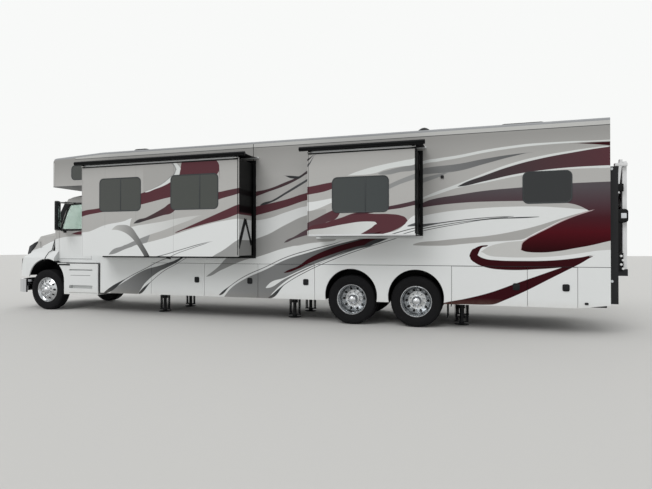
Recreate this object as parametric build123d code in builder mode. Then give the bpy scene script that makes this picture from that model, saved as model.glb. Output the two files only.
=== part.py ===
from build123d import *
import os
from math import asin, atan2, cos, degrees, hypot, radians, sin

os.makedirs("parts", exist_ok=True)

# A motorhome on a truck chassis, in millimetres. +X is forward, +Y its left side, +Z up, and the
# origin lies on the ground under the middle of its box. A station is a distance back from the
# front axle, so the hood has negative stations.

# Length
front_overhang = 1180
wheelbase = 7910
tandem_spacing = 1300
house_start = 1735
rear_end = 12580
overcab_nose = 305
cab_rear = 1625
carrier_reach = 330

# Width
house_width = 2550
cab_width = 2090
fender_width = 2400

# Height
skirt_foot = 483
belt_height = 1216
overcab_foot = 3063
roof_height = 3850
nose_roof_drop = 75
cab_foot = 1190
cab_floor_top = 1240
floor_foot = 1260
floor_top = 1380

# Panels
wall = 45
roof_panel = 50
door_panel = 38
panel_gap = 8
cab_wall = 40
hood_wall = 30
pane = 12
pane_rebate = 8
pane_lap = 22
seat_gap = 0.3

# Running gear
tyre_radius = 505
axle_height = tyre_radius
tyre_width = 270
front_track = 2080
dual_spacing = 335
rear_track = 1835
rim_radius = 286
flange_radius = 306
flange_width = 12
spindle_radius = 40
spindle_fit = 0.05
kingpin_offset = 870
kingpin_radius = 22

# Frame rails
rail_span = 864
rail_flange = 78
rail_depth = 270
rail_top = 1050
rail_plate = 9
rail_front = -950
rail_rear = 12450

# Slide-out rooms: stations of the two ends, foot and head heights, side of the vehicle
slide_reach = 720
slide_depth = 900
slide_wall = 45
slide_clearance = 10
fascia = 20
seal_width = 55
seal_proud = 30
slide_rooms = {
    "slide_long": {"front": 1890, "rear": 5750, "foot": 1400, "head": 3370, "side": 1},
    "slide_short": {"front": 7250, "rear": 9290, "foot": 1810, "head": 3380, "side": 1},
    "slide_right": {"front": 4250, "rear": 6900, "foot": 1400, "head": 3370, "side": -1},
}

# Windows: first station, last station, sill and head heights
slide_windows = {
    "slide_long": [(2360, 3430, 2364, 3083), (4186, 5300, 2364, 3083)],
    "slide_short": [(7730, 8800, 2226, 2886)],
    "slide_right": [(4900, 6250, 2364, 3083)],
}
wall_windows = {
    1: [(870, 1500, 3225, 3570), (11160, 11970, 2374, 2945)],
    -1: [
        (870, 1500, 3225, 3570),
        (3000, 3700, 2364, 3000),
        (7900, 9000, 2226, 2886),
        (11160, 11970, 2374, 2945),
    ],
}
window_corner = 95
window_inset_corner = window_corner - pane_lap

# Baggage doors: first and last station of each, front to rear
bays_left = [(3170, 4560), (4560, 5860), (5860, 7140), (9890, 11230), (11230, 12060)]
bays_right = [(2900, 5000), (5000, 7140)]
bay_hinge_inset = 6
bay_pin_radius = 3.5
latch_width = 90
latch_height = 110
latch_proud = 9
latch_setback = 190

# Wheel arches of the house
arch_radius = 540
arch_centre = 596
fender_front = 7140
fender_rear = 9890

# Worked out from the sizes above
overall_length = front_overhang + rear_end + carrier_reach
front_axle_x = overall_length / 2 - front_overhang
half_house = house_width / 2
half_cab = cab_width / 2
half_fender = fender_width / 2
wall_inner = half_house - wall
wall_top = roof_height - roof_panel
slide_face = half_house + slide_reach
rear_axle_stations = (wheelbase, wheelbase + tandem_spacing)
door_top = belt_height - panel_gap


def along(station):
    """X of a station measured back from the front axle."""
    return front_axle_x - station


def slab(stations, sides, heights, mode=Mode.ADD):
    """A box between two stations, two sides and two heights."""
    xs = sorted(along(s) for s in stations)
    ys, zs = sorted(sides), sorted(heights)
    with Locations(((xs[0] + xs[1]) / 2, (ys[0] + ys[1]) / 2, (zs[0] + zs[1]) / 2)):
        Box(xs[1] - xs[0], ys[1] - ys[0], zs[1] - zs[0], mode=mode)


def side_outline(points):
    """A closed outline in the side view, from pairs of station and height."""
    with BuildSketch(Plane.XZ) as outline:
        with BuildLine():
            Polyline([(along(s), z) for s, z in points], close=True)
        make_face()
    return outline.sketch


def side_rectangle(stations, heights, corner):
    """A rounded rectangle in the side view."""
    with BuildSketch(Plane.XZ) as outline:
        with Locations(((along(stations[0]) + along(stations[1])) / 2, sum(heights) / 2)):
            RectangleRounded(abs(stations[1] - stations[0]), heights[1] - heights[0], corner)
    return outline.sketch


def across(sketch, y_from, y_to, mode=Mode.ADD):
    """Extrudes a side-view sketch from one side position to another."""
    low, high = sorted((y_from, y_to))
    extrude(sketch.moved(Location((0, high, 0))), amount=high - low, mode=mode)


def rod(start, end, radius, mode=Mode.ADD):
    """A round bar between two points, each given as station, side and height."""
    first = Vector(along(start[0]), start[1], start[2])
    last = Vector(along(end[0]), end[1], end[2])
    with BuildSketch(Plane(origin=first, z_dir=last - first)) as section:
        Circle(radius)
    extrude(section.sketch, amount=(last - first).length, mode=mode)


def window_opening(face, side, stations, heights):
    """Cuts a rebate for the pane and the smaller daylight opening behind it."""
    rebate = side_rectangle(stations, heights, window_corner)
    across(rebate, face, face - side * pane_rebate, Mode.SUBTRACT)
    inner = (stations[0] + pane_lap, stations[1] - pane_lap)
    inner_heights = (heights[0] + pane_lap, heights[1] - pane_lap)
    daylight = side_rectangle(inner, inner_heights, window_inset_corner)
    across(daylight, face, face - side * 2 * wall, Mode.SUBTRACT)


def window_pane(face, side, stations, heights):
    """The dark pane that lies in the rebate, a little proud of the wall."""
    outline = side_rectangle(
        (stations[0] + seat_gap, stations[1] - seat_gap),
        (heights[0] + seat_gap, heights[1] - seat_gap),
        window_corner - seat_gap,
    )
    across(outline, face - side * pane_rebate, face - side * (pane_rebate - pane))


def mirrored_sides():
    """The left side first, then the right one."""
    return (("left", 1), ("right", -1))


# Chassis frame: two channel rails, crossmembers, sills under the house and the rear receiver
rail_outer = rail_span / 2 + rail_flange / 2
rail_inner = rail_span / 2 - rail_flange / 2
rail_foot = rail_top - rail_depth
web_inner = rail_outer - rail_plate
crossmember_stations = (-940, 900, 2300, 3700, 5100, 6500, 8560, 10200, 11500, 12400)
crossmember_depth = 90
crossmember_length = 80
hood_pivot_station = -1020
hood_pivot_height = 800
hood_pin_radius = 10
hood_pin_reach = 75
pivot_bracket_nose = 14
pivot_bracket_head = 16
receiver_size = 76
receiver_bore = 51
receiver_height = 620
receiver_length = 330
receiver_pin_radius = 8.1
receiver_pin_setback = 70
cab_mount_stations = (330, 1500)

with BuildPart() as chassis_frame:
    for name, side in mirrored_sides():
        slab((rail_front, rail_rear), (side * rail_inner, side * rail_outer), (rail_foot, rail_top))
        slab(
            (rail_front, rail_rear),
            (side * rail_inner, side * web_inner),
            (rail_foot + rail_plate, rail_top - rail_plate),
            Mode.SUBTRACT,
        )
        slab((house_start + wall, rail_rear), (side * rail_inner, side * web_inner), (rail_top, floor_foot))
        for station in cab_mount_stations:
            slab((station - 50, station + 50), (side * rail_inner, side * rail_outer), (rail_top, cab_foot))
        slab(
            (rail_front, hood_pivot_station - pivot_bracket_nose),
            (side * rail_inner, side * rail_outer),
            (hood_pivot_height - 30, hood_pivot_height + pivot_bracket_head),
        )
        rod(
            (hood_pivot_station, side * (rail_outer - 5), hood_pivot_height),
            (hood_pivot_station, side * (rail_outer + hood_pin_reach), hood_pivot_height),
            hood_pin_radius,
        )
    for station in crossmember_stations:
        slab(
            (station, station + crossmember_length),
            (-web_inner, web_inner),
            (rail_top - rail_plate - crossmember_depth, rail_top - rail_plate),
        )
    for name, side in mirrored_sides():
        slab(
            (rail_rear - 120, rail_rear - 40),
            (side * rail_inner, side * rail_outer),
            (receiver_height - receiver_size / 2, rail_foot),
        )
    slab(
        (rail_rear - 120, rail_rear - 40),
        (-rail_outer, rail_outer),
        (receiver_height - receiver_size / 2, receiver_height + receiver_size / 2),
    )
    receiver_mouth = rail_rear - 120 + receiver_length
    slab(
        (rail_rear - 120, receiver_mouth),
        (-receiver_size / 2, receiver_size / 2),
        (receiver_height - receiver_size / 2, receiver_height + receiver_size / 2),
    )
    slab(
        (rail_rear - 100, receiver_mouth),
        (-receiver_bore / 2, receiver_bore / 2),
        (receiver_height - receiver_bore / 2, receiver_height + receiver_bore / 2),
        Mode.SUBTRACT,
    )
    rod(
        (receiver_mouth - receiver_pin_setback, -receiver_size, receiver_height),
        (receiver_mouth - receiver_pin_setback, receiver_size, receiver_height),
        receiver_pin_radius,
        Mode.SUBTRACT,
    )
chassis_frame.part.label = "chassis_frame"
export_step(chassis_frame.part, "parts/chassis_frame.step")

# Front axle: a dropped beam with kingpin eyes, and leaf springs hung from the rails
beam_height = 110
beam_width = 120
beam_drop = 60
spring_width = 80
spring_half = 720
spring_thickness = 48
spring_seat = axle_height - beam_drop + beam_height / 2
kingpin_boss = 50
kingpin_boss_height = 130

with BuildPart() as front_axle:
    beam_centre = axle_height - beam_drop
    slab((-beam_width / 2, beam_width / 2), (-640, 640), (beam_centre - beam_height / 2, spring_seat))
    for name, side in mirrored_sides():
        with BuildSketch(Plane.YZ.offset(along(beam_width / 2))) as arm:
            with BuildLine():
                Polyline(
                    (side * 600, beam_centre - beam_height / 2),
                    (side * 640, beam_centre - beam_height / 2),
                    (side * (kingpin_offset - 15), axle_height - beam_height / 2),
                    (side * (kingpin_offset - 15), axle_height + beam_height / 2),
                    (side * 600, spring_seat),
                    close=True,
                )
            make_face()
        extrude(amount=beam_width)
        rod(
            (0, side * kingpin_offset, axle_height - kingpin_boss_height / 2),
            (0, side * kingpin_offset, axle_height + kingpin_boss_height / 2),
            kingpin_boss,
        )
        rod(
            (0, side * kingpin_offset, 0),
            (0, side * kingpin_offset, 2 * axle_height),
            kingpin_radius + spindle_fit,
            Mode.SUBTRACT,
        )
        leaf = side_outline(
            [
                (-spring_half, 690),
                (-spring_half / 2, spring_seat + 25),
                (-90, spring_seat),
                (90, spring_seat),
                (spring_half / 2, spring_seat + 25),
                (spring_half, 690),
                (spring_half, 690 + spring_thickness),
                (spring_half / 2, spring_seat + 25 + spring_thickness),
                (90, spring_seat + 2 * spring_thickness),
                (-90, spring_seat + 2 * spring_thickness),
                (-spring_half / 2, spring_seat + 25 + spring_thickness),
                (-spring_half, 690 + spring_thickness),
            ]
        )
        spring_centre = side * rail_span / 2
        across(leaf, spring_centre - spring_width / 2, spring_centre + spring_width / 2)
        for end in (-1, 1):
            slab(
                (end * (spring_half - 70), end * (spring_half + 30)),
                (spring_centre - spring_width / 2, spring_centre + spring_width / 2),
                (690 + spring_thickness / 2, rail_foot),
            )
front_axle.part.label = "front_axle"
export_step(front_axle.part, "parts/front_axle.step")

# Steering knuckles: a yoke over each kingpin eye, and the spindle that carries the wheel
yoke_gap = 6
ear_thickness = 34
ear_radius = 46
web_near = kingpin_offset + kingpin_boss + yoke_gap
web_far = web_near + 26
spindle_end = front_track / 2 + 120

for name, side in mirrored_sides():
    with BuildPart() as knuckle:
        for end in (-1, 1):
            near = axle_height + end * (kingpin_boss_height / 2 + yoke_gap)
            far = near + end * ear_thickness
            rod((0, side * kingpin_offset, near), (0, side * kingpin_offset, far), ear_radius)
            slab((-ear_radius, ear_radius), (side * kingpin_offset, side * web_far), (near, far))
        rod(
            (0, side * kingpin_offset, axle_height - kingpin_boss_height / 2 - yoke_gap),
            (0, side * kingpin_offset, axle_height + kingpin_boss_height / 2 + yoke_gap),
            kingpin_radius,
        )
        web_half = kingpin_boss_height / 2 + yoke_gap + ear_thickness
        slab(
            (-ear_radius, ear_radius),
            (side * web_near, side * web_far),
            (axle_height - web_half, axle_height + web_half),
        )
        rod((0, side * web_far, axle_height), (0, side * spindle_end, axle_height), spindle_radius)
    knuckle.part.label = f"knuckle_{name}"
    export_step(knuckle.part, f"parts/knuckle_{name}.step")

# Rear tandem: two axle tubes with their final drives, trailing arms and air bags under the rails
tube_radius = 62
drive_radius = 190
drive_width = 260
arm_width = 80
arm_depth = 90
arm_length = 520
bag_radius = 120
rear_spindle_end = rear_track / 2 + dual_spacing / 2 + 90

with BuildPart() as rear_axles:
    for station in rear_axle_stations:
        rod((station, -560, axle_height), (station, 560, axle_height), tube_radius)
        rod(
            (station, -rear_spindle_end, axle_height),
            (station, rear_spindle_end, axle_height),
            spindle_radius,
        )
        rod(
            (station, -drive_width / 2, axle_height),
            (station, drive_width / 2, axle_height),
            drive_radius,
        )
        for name, side in mirrored_sides():
            arm_centre = side * rail_span / 2
            arm_sides = (arm_centre - arm_width / 2, arm_centre + arm_width / 2)
            slab(
                (station - arm_length, station + 330),
                arm_sides,
                (axle_height + 40, axle_height + 40 + arm_depth),
            )
            slab(
                (station - arm_length, station - arm_length + 110),
                arm_sides,
                (axle_height + 40, rail_foot),
            )
            rod(
                (station + 240, arm_centre, axle_height + 40 + arm_depth),
                (station + 240, arm_centre, rail_foot),
                bag_radius - 40,
            )
rear_axles.part.label = "rear_axles"
export_step(rear_axles.part, "parts/rear_axles.step")

# Engine block, radiator, gearbox and propeller shaft
engine_half_width = 320
engine_stations = (-700, -10)
engine_heights = (690, 1560)
radiator_stations = (-850, -780)
radiator_heights = (840, 1400)
gearbox_half_width = 210
gearbox_rear = 760
gearbox_heights = (640, 1080)
shaft_radius = 50
shaft_start_height = 800

with BuildPart() as powertrain:
    slab(engine_stations, (-engine_half_width, engine_half_width), engine_heights)
    slab((engine_stations[1], gearbox_rear), (-gearbox_half_width, gearbox_half_width), gearbox_heights)
    slab((-440, -340), (-web_inner, web_inner), (850, 960))
    shaft_end = wheelbase - drive_radius - 2
    rod((gearbox_rear - 20, 0, shaft_start_height), (shaft_end, 0, axle_height + 40), shaft_radius)
    slab(radiator_stations, (-rail_inner + 10, rail_inner - 10), radiator_heights)
    slab((radiator_stations[1], engine_stations[0]), (-220, 220), (900, 1300))
powertrain.part.label = "powertrain"
export_step(powertrain.part, "parts/powertrain.step")

# Wheels: a tyre is one ring; a rim is a barrel with flanges, a dished disc with hand holes and a hub
bead_inset = 28
shoulder = 26
sidewall_bulge = 10
hub_radius = 100
hub_cap = 30
hub_cap_radius = 78
disc_thickness = 14
dish_flat_radius = 178
dish_setback = 40
hand_holes = 10
hand_hole_radius = 27
hand_hole_circle = 221
stud_circle = 285.75 / 2
stud_radius = 13
stud_length = 34
front_disc_offset = 130
front_hub_far = spindle_end + 45


def tyre_ring(centre, side):
    """A ring whose sides bulge a little between the bead and the tread."""
    half = tyre_width / 2
    bead = half - bead_inset - seat_gap
    profile = [
        (centre - bead, rim_radius + seat_gap),
        (centre - bead, flange_radius + seat_gap),
        (centre - half, (rim_radius + tyre_radius) / 2 + 10),
        (centre - half + sidewall_bulge, tyre_radius - shoulder),
        (centre - half + shoulder + 10, tyre_radius),
        (centre + half - shoulder - 10, tyre_radius),
        (centre + half - sidewall_bulge, tyre_radius - shoulder),
        (centre + half, (rim_radius + tyre_radius) / 2 + 10),
        (centre + bead, flange_radius + seat_gap),
        (centre + bead, rim_radius + seat_gap),
    ]
    with BuildSketch(Plane.YZ) as outline:
        with BuildLine():
            Polyline([(side * y, r) for y, r in profile], close=True)
        make_face()
    revolve(outline.sketch, axis=Axis.Y)


def rim_shell(centre, side, disc_at, bulge):
    """Barrel, flanges and dished disc, round the Y axis; bulge is 1 for a disc that stands outward."""
    half = tyre_width / 2 - bead_inset
    barrel = [
        (centre - half - flange_width, flange_radius),
        (centre - half, flange_radius),
        (centre - half, rim_radius),
        (centre + half, rim_radius),
        (centre + half, flange_radius),
        (centre + half + flange_width, flange_radius),
        (centre + half + flange_width, rim_radius - 10),
        (centre + half - 30, rim_radius - 22),
        (centre - half + 30, rim_radius - 22),
        (centre - half - flange_width, rim_radius - 10),
    ]
    joint = centre + bulge * (half - dish_setback)
    back = disc_at - bulge * disc_thickness
    dish = [
        (disc_at, 0),
        (disc_at, dish_flat_radius),
        (joint + bulge * disc_thickness / 2, rim_radius - 14),
        (joint - bulge * disc_thickness / 2, rim_radius - 14),
        (back, dish_flat_radius - 6),
        (back, 0),
    ]
    for profile in (barrel, dish):
        with BuildSketch(Plane.YZ) as outline:
            with BuildLine():
                Polyline([(side * y, r) for y, r in profile], close=True)
            make_face()
        revolve(outline.sketch, axis=Axis.Y)


def wheel_bar(side, near, far, radius, mode=Mode.ADD):
    """A round bar on the wheel's axis between two side positions."""
    with BuildSketch(Plane.XZ.offset(-side * near)) as section:
        Circle(radius)
    extrude(section.sketch, amount=-side * (far - near), mode=mode)


def hub_studs(side, near, far):
    """The ring of wheel nuts round the hub."""
    with BuildSketch(Plane.XZ.offset(-side * near)) as section:
        with PolarLocations(stud_circle, hand_holes):
            Circle(stud_radius)
    extrude(section.sketch, amount=-side * (far - near))


def hand_hole_ring(side, near, far):
    """Cuts the ring of hand holes through the disc."""
    with BuildSketch(Plane.XZ.offset(-side * near)) as section:
        with PolarLocations(hand_hole_circle, hand_holes):
            Circle(hand_hole_radius)
    extrude(section.sketch, amount=-side * (far - near), mode=Mode.SUBTRACT)


front_disc = front_track / 2 + front_disc_offset
for name, side in mirrored_sides():
    spot = Location((along(0), 0, axle_height))
    with BuildPart() as tyre:
        tyre_ring(front_track / 2, side)
    placed_tyre = tyre.part.moved(spot)
    placed_tyre.label = f"tyre_front_{name}"
    export_step(placed_tyre, f"parts/tyre_front_{name}.step")
    with BuildPart() as rim:
        rim_shell(front_track / 2, side, front_disc, 1)
        hand_hole_ring(side, front_disc - 120, front_disc + 20)
        wheel_bar(side, front_disc - 110, front_disc + 10, hub_radius)
        wheel_bar(side, front_disc, front_hub_far, hub_cap_radius)
        hub_studs(side, front_disc - 5, front_disc + stud_length)
        wheel_bar(side, 0, front_hub_far - hub_cap, spindle_radius + spindle_fit, Mode.SUBTRACT)
    placed_rim = rim.part.moved(spot)
    placed_rim.label = f"rim_front_{name}"
    export_step(placed_rim, f"parts/rim_front_{name}.step")

outer_dual = rear_track / 2 + dual_spacing / 2
inner_dual = rear_track / 2 - dual_spacing / 2
dual_face = rear_track / 2
rear_hub_far = rear_spindle_end + 40
for position, station in zip(("mid", "rear"), rear_axle_stations):
    for name, side in mirrored_sides():
        spot = Location((along(station), 0, axle_height))
        with BuildPart() as tyres:
            tyre_ring(outer_dual, side)
            tyre_ring(inner_dual, side)
        placed_tyres = tyres.part.moved(spot)
        placed_tyres.label = f"tyres_{position}_{name}"
        export_step(placed_tyres, f"parts/tyres_{position}_{name}.step")
        with BuildPart() as rims:
            rim_shell(outer_dual, side, dual_face, -1)
            rim_shell(inner_dual, side, dual_face, 1)
            hand_hole_ring(side, dual_face - 90, dual_face + 90)
            wheel_bar(side, dual_face - 60, rear_hub_far - 60, hub_radius)
            wheel_bar(side, rear_hub_far - 70, rear_hub_far, hub_cap_radius)
            hub_studs(side, dual_face, dual_face + disc_thickness + stud_length)
            wheel_bar(side, 0, rear_hub_far - hub_cap, spindle_radius + spindle_fit, Mode.SUBTRACT)
        placed_rims = rims.part.moved(spot)
        placed_rims.label = f"rims_{position}_{name}"
        export_step(placed_rims, f"parts/rims_{position}_{name}.step")

# Levelling jacks: a housing under each rail, a leg and a foot on the ground
jack_stations = (3040, 6440, 10060)
jack_leg_radius = 38
jack_body_radius = 62
jack_foot_radius = 140
jack_body_foot = 330
jack_side = rail_outer + 90

with BuildPart() as levelling_jacks:
    for station in jack_stations:
        for name, side in mirrored_sides():
            line = side * jack_side
            rod((station, line, 0), (station, line, 18), jack_foot_radius)
            rod((station, line, 18), (station, line, jack_body_foot), jack_leg_radius)
            rod((station, line, jack_body_foot), (station, line, rail_top), jack_body_radius)
            slab((station - 60, station + 60), (side * rail_outer, line), (rail_top - 200, rail_top - 40))
levelling_jacks.part.label = "levelling_jacks"
export_step(levelling_jacks.part, "parts/levelling_jacks.step")

# Cab: one outer form, from its side, front and plan outlines, hollowed by the same form set in
windshield_foot = (90, 1985)
windshield_head = (400, 2790)
cab_side_points = [
    (50, cab_foot),
    (50, 1955),
    windshield_foot,
    windshield_head,
    (700, 2890),
    (1250, 2950),
    (cab_rear, 2900),
    (cab_rear, cab_foot),
]
cab_front_points = [
    (0, 2952),
    (half_cab - 345, 2940),
    (half_cab - 145, 2850),
    (half_cab - 60, 2450),
    (half_cab - 15, 2000),
    (half_cab, 1700),
    (half_cab, cab_foot),
]
cab_corner = 130


def mirrored_outline(points):
    """Front-view points of one half and their mirror image, as one closed outline."""
    return [(y, z) for y, z in points] + [(-y, z) for y, z in reversed(points) if y > 0]


def cab_form(inset):
    """The cab's outer form, set in by a wall."""
    with BuildPart() as form:
        with BuildSketch(Plane.XZ) as side_view:
            with BuildLine():
                Polyline([(along(s), z) for s, z in cab_side_points], close=True)
            make_face()
            if inset:
                offset(amount=-inset, kind=Kind.INTERSECTION)
        extrude(amount=cab_width, both=True)
        front_points = mirrored_outline(cab_front_points)
        with BuildSketch(Plane.YZ.offset(along(cab_rear + 100))) as front_view:
            with BuildLine():
                Polyline(front_points, close=True)
            make_face()
            if inset:
                offset(amount=-inset, kind=Kind.INTERSECTION)
        extrude(amount=cab_rear + 400, mode=Mode.INTERSECT)
        with BuildSketch(Plane.XY) as plan_view:
            with Locations((along((cab_rear + 50) / 2), 0)):
                RectangleRounded(cab_rear - 50 - 2 * inset, cab_width - 2 * inset, cab_corner - inset)
        extrude(amount=4000, mode=Mode.INTERSECT)
    return form.part


door_front = 262
door_rear = 1260
cab_door_foot = 1285
cab_door_head = 2700
cab_door_gap = 10
cab_hinge_inset = 8
cab_hinge_station = door_front + cab_hinge_inset
cab_hinge_side = half_cab - cab_hinge_inset
cab_pin_radius = 4
door_outline = [
    (door_front, cab_door_foot),
    (door_front, 2000),
    (455, cab_door_head),
    (door_rear, cab_door_head),
    (door_rear, cab_door_foot),
]
door_window = [(305, 2025), (490, 2650), (1190, 2665), (1190, 2025)]
glass_inset = 10
hood_rear = 45
hood_step = 1490
hood_step_run = 80
flare_front = hood_rear - hood_step_run + 5
flare_points = [
    (half_cab - cab_wall - 5, cab_foot),
    (half_cab - cab_wall - 5, 1480),
    (half_cab, 1480),
    (half_cab + 35, 1440),
    (half_fender - 15, 1310),
    (half_fender, cab_foot),
]
front_arch_radius = 555
front_arch_centre = 730
cab_outer = cab_form(0)
cab_inner = cab_form(cab_wall)
rear_pass_half = 440
rear_pass = (1420, 2740)
windshield_run = windshield_head[0] - windshield_foot[0]
windshield_rise = windshield_head[1] - windshield_foot[1]
windshield_lean = degrees(atan2(windshield_rise, windshield_run))
windshield_length = hypot(windshield_run, windshield_rise)
windshield_half = half_cab - 185
windshield_margin = 55
windshield_plane = Plane(
    origin=(
        (along(windshield_foot[0]) + along(windshield_head[0])) / 2,
        0,
        (windshield_foot[1] + windshield_head[1]) / 2,
    ),
    x_dir=(0, 1, 0),
    z_dir=(sin(radians(windshield_lean)), 0, cos(radians(windshield_lean))),
)


def door_zone(side, grow):
    """The block that a cab door is cut from, on one side, grown all round by a gap."""
    with BuildSketch(Plane.XZ) as outline:
        with BuildLine():
            Polyline([(along(s), z) for s, z in door_outline], close=True)
        make_face()
        if grow:
            offset(amount=grow, kind=Kind.INTERSECTION)
    across(outline.sketch, side * (half_cab - 250), side * (half_cab + 50))


with BuildPart() as cab_shell:
    add(cab_outer)
    add(cab_inner, mode=Mode.SUBTRACT)
    for name, side in mirrored_sides():
        with BuildSketch(Plane.YZ.offset(along(door_front - 20))) as flare:
            with BuildLine():
                Polyline([(side * y, z) for y, z in flare_points], close=True)
            make_face()
        extrude(amount=door_front - 20 + 30)
    seam_front = [
        (-200, 1600),
        (hood_rear + 5, 1600),
        (hood_rear + 5, hood_step),
        (flare_front, 1285),
        (-200, 1285),
    ]
    across(side_outline(seam_front), -1300, 1300, Mode.SUBTRACT)
    rod(
        (0, -1300, front_arch_centre),
        (0, 1300, front_arch_centre),
        front_arch_radius,
        Mode.SUBTRACT,
    )
    slab((cab_rear - 200, cab_rear + 50), (-rear_pass_half, rear_pass_half), rear_pass, Mode.SUBTRACT)
    for name, side in mirrored_sides():
        with BuildPart(mode=Mode.PRIVATE) as opening:
            door_zone(side, cab_door_gap)
        add(opening.part, mode=Mode.SUBTRACT)
        rod(
            (cab_hinge_station, side * cab_hinge_side, cab_door_foot - cab_door_gap - 20),
            (cab_hinge_station, side * cab_hinge_side, cab_door_foot + 30),
            cab_pin_radius,
        )
    with BuildSketch(windshield_plane.offset(-pane_rebate)) as rebate:
        RectangleRounded(2 * windshield_half, windshield_length - 2 * windshield_margin, 70)
    extrude(amount=100, mode=Mode.SUBTRACT)
    with BuildSketch(windshield_plane.offset(-100)) as daylight:
        RectangleRounded(
            2 * (windshield_half - pane_lap), windshield_length - 2 * windshield_margin - 2 * pane_lap, 55
        )
    extrude(amount=200, mode=Mode.SUBTRACT)
cab_shell.part.label = "cab_shell"
export_step(cab_shell.part, "parts/cab_shell.step")

# Cab doors, each with its window and outside mirror
mirror_station = 525
mirror_side = half_cab + 315
mirror_width = 210
mirror_heights = (1985, 2705)
mirror_depth = 75
mirror_corner = 34
mirror_toe = 27
mirror_arm_radius = 14
# Columns: where each arm leaves the door (station, side, height) and its height at the mirror
mirror_arms = [
    (430, half_cab - 25, 1968, mirror_heights[0] + 30),
    (612, half_cab - 120, 2675, mirror_heights[1] - 35),
]

for name, side in mirrored_sides():
    with BuildPart() as cab_door:
        door_zone(side, 0)
        add(cab_outer, mode=Mode.INTERSECT)
        add(cab_inner, mode=Mode.SUBTRACT)
        across(side_outline(door_window), side * 700, side * 1200, Mode.SUBTRACT)
        rod(
            (cab_hinge_station, side * cab_hinge_side, cab_door_foot - 5),
            (cab_hinge_station, side * cab_hinge_side, cab_door_foot + 35),
            cab_pin_radius + seat_gap,
            Mode.SUBTRACT,
        )
        with BuildSketch(Plane.XY.offset(mirror_heights[0])) as housing:
            with Locations(Location((along(mirror_station), side * mirror_side), side * mirror_toe)):
                RectangleRounded(mirror_depth, mirror_width, mirror_corner)
        extrude(amount=mirror_heights[1] - mirror_heights[0])
        for foot_station, foot_side, foot_height, head_height in mirror_arms:
            rod(
                (foot_station, side * foot_side, foot_height),
                (mirror_station, side * mirror_side, head_height),
                mirror_arm_radius,
            )
    cab_door.part.label = f"cab_door_{name}"
    export_step(cab_door.part, f"parts/cab_door_{name}.step")
    with BuildPart() as door_glass:
        across(side_outline(door_window), side * 700, side * 1200)
        add(cab_outer, mode=Mode.INTERSECT)
        with BuildPart(mode=Mode.PRIVATE) as glass_core:
            add(cab_form(glass_inset))
        with BuildPart(mode=Mode.PRIVATE) as glass_back:
            add(cab_form(glass_inset + 6))
        add(glass_core.part, mode=Mode.INTERSECT)
        add(glass_back.part, mode=Mode.SUBTRACT)
    door_glass.part.label = f"cab_door_{name}_glass"
    export_step(door_glass.part, f"parts/cab_door_{name}_glass.step")

# Cab interior: dashboard, steering wheel and two seats on their pedestals
seat_centre = 520
seat_width = 520
seat_stations = (880, 1380)

with BuildPart() as cab_interior:
    slab((330, 560), (145 - half_cab, half_cab - 145), (1500, 1900))
    slab((330, 560), (-300, 300), (cab_floor_top - 10, 1500))
    for name, side in mirrored_sides():
        middle = side * seat_centre
        slab((930, 1330), (middle - 200, middle + 200), (cab_floor_top - 10, 1500))
        slab(seat_stations, (middle - seat_width / 2, middle + seat_width / 2), (1500, 1640))
        slab((1330, 1450), (middle - seat_width / 2, middle + seat_width / 2), (1640, 2280))
        slab((1350, 1440), (middle - 130, middle + 130), (2280, 2480))
    wheel_plane = Plane(origin=(along(690), seat_centre, 1890), x_dir=(0, 1, 0), z_dir=(-0.6, 0, 0.8))
    with BuildSketch(wheel_plane) as wheel:
        Circle(230)
        Circle(200, mode=Mode.SUBTRACT)
        Rectangle(410, 40)
        Circle(60)
    extrude(amount=28)
    rod((690, seat_centre, 1890), (500, seat_centre, 1740), 35)
cab_interior.part.label = "cab_interior"
export_step(cab_interior.part, "parts/cab_interior.step")

# Hood: one form from side, front and plan outlines, hollowed, with the wheel arch cut out
hood_foot = 830
hood_side_points = [
    (hood_rear, hood_foot),
    (hood_rear, 1975),
    (-150, 1945),
    (-450, 1855),
    (-700, 1735),
    (-850, 1590),
    (-940, 1400),
    (-1040, 1160),
    (-1060, 1060),
    (-1060, hood_foot),
]
hood_front_points = [
    (0, 2000),
    (half_cab - 285, 1960),
    (half_cab - 115, 1860),
    (half_cab - 35, 1650),
    (half_cab + 35, 1440),
    (half_fender - 15, 1310),
    (half_fender, 1180),
    (half_fender, hood_foot),
]
# The upper hood tapers to the grille: plan points of its edge over the fenders, and the fenders' tops
hood_taper_points = [(hood_rear, half_fender), (-250, half_cab), (-620, 850), (-1060, 600)]
fender_top_points = [
    (hood_rear + 100, 1570),
    (-300, 1550),
    (-520, 1475),
    (-700, 1370),
    (-860, 1245),
    (-980, 1105),
    (-1050, 960),
    (-1070, hood_foot - 20),
]
hood_plan_points = [
    (hood_rear, half_fender),
    (-620, half_fender),
    (-820, 1160),
    (-960, 1055),
    (-1035, 800),
    (-1060, 480),
]


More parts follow.
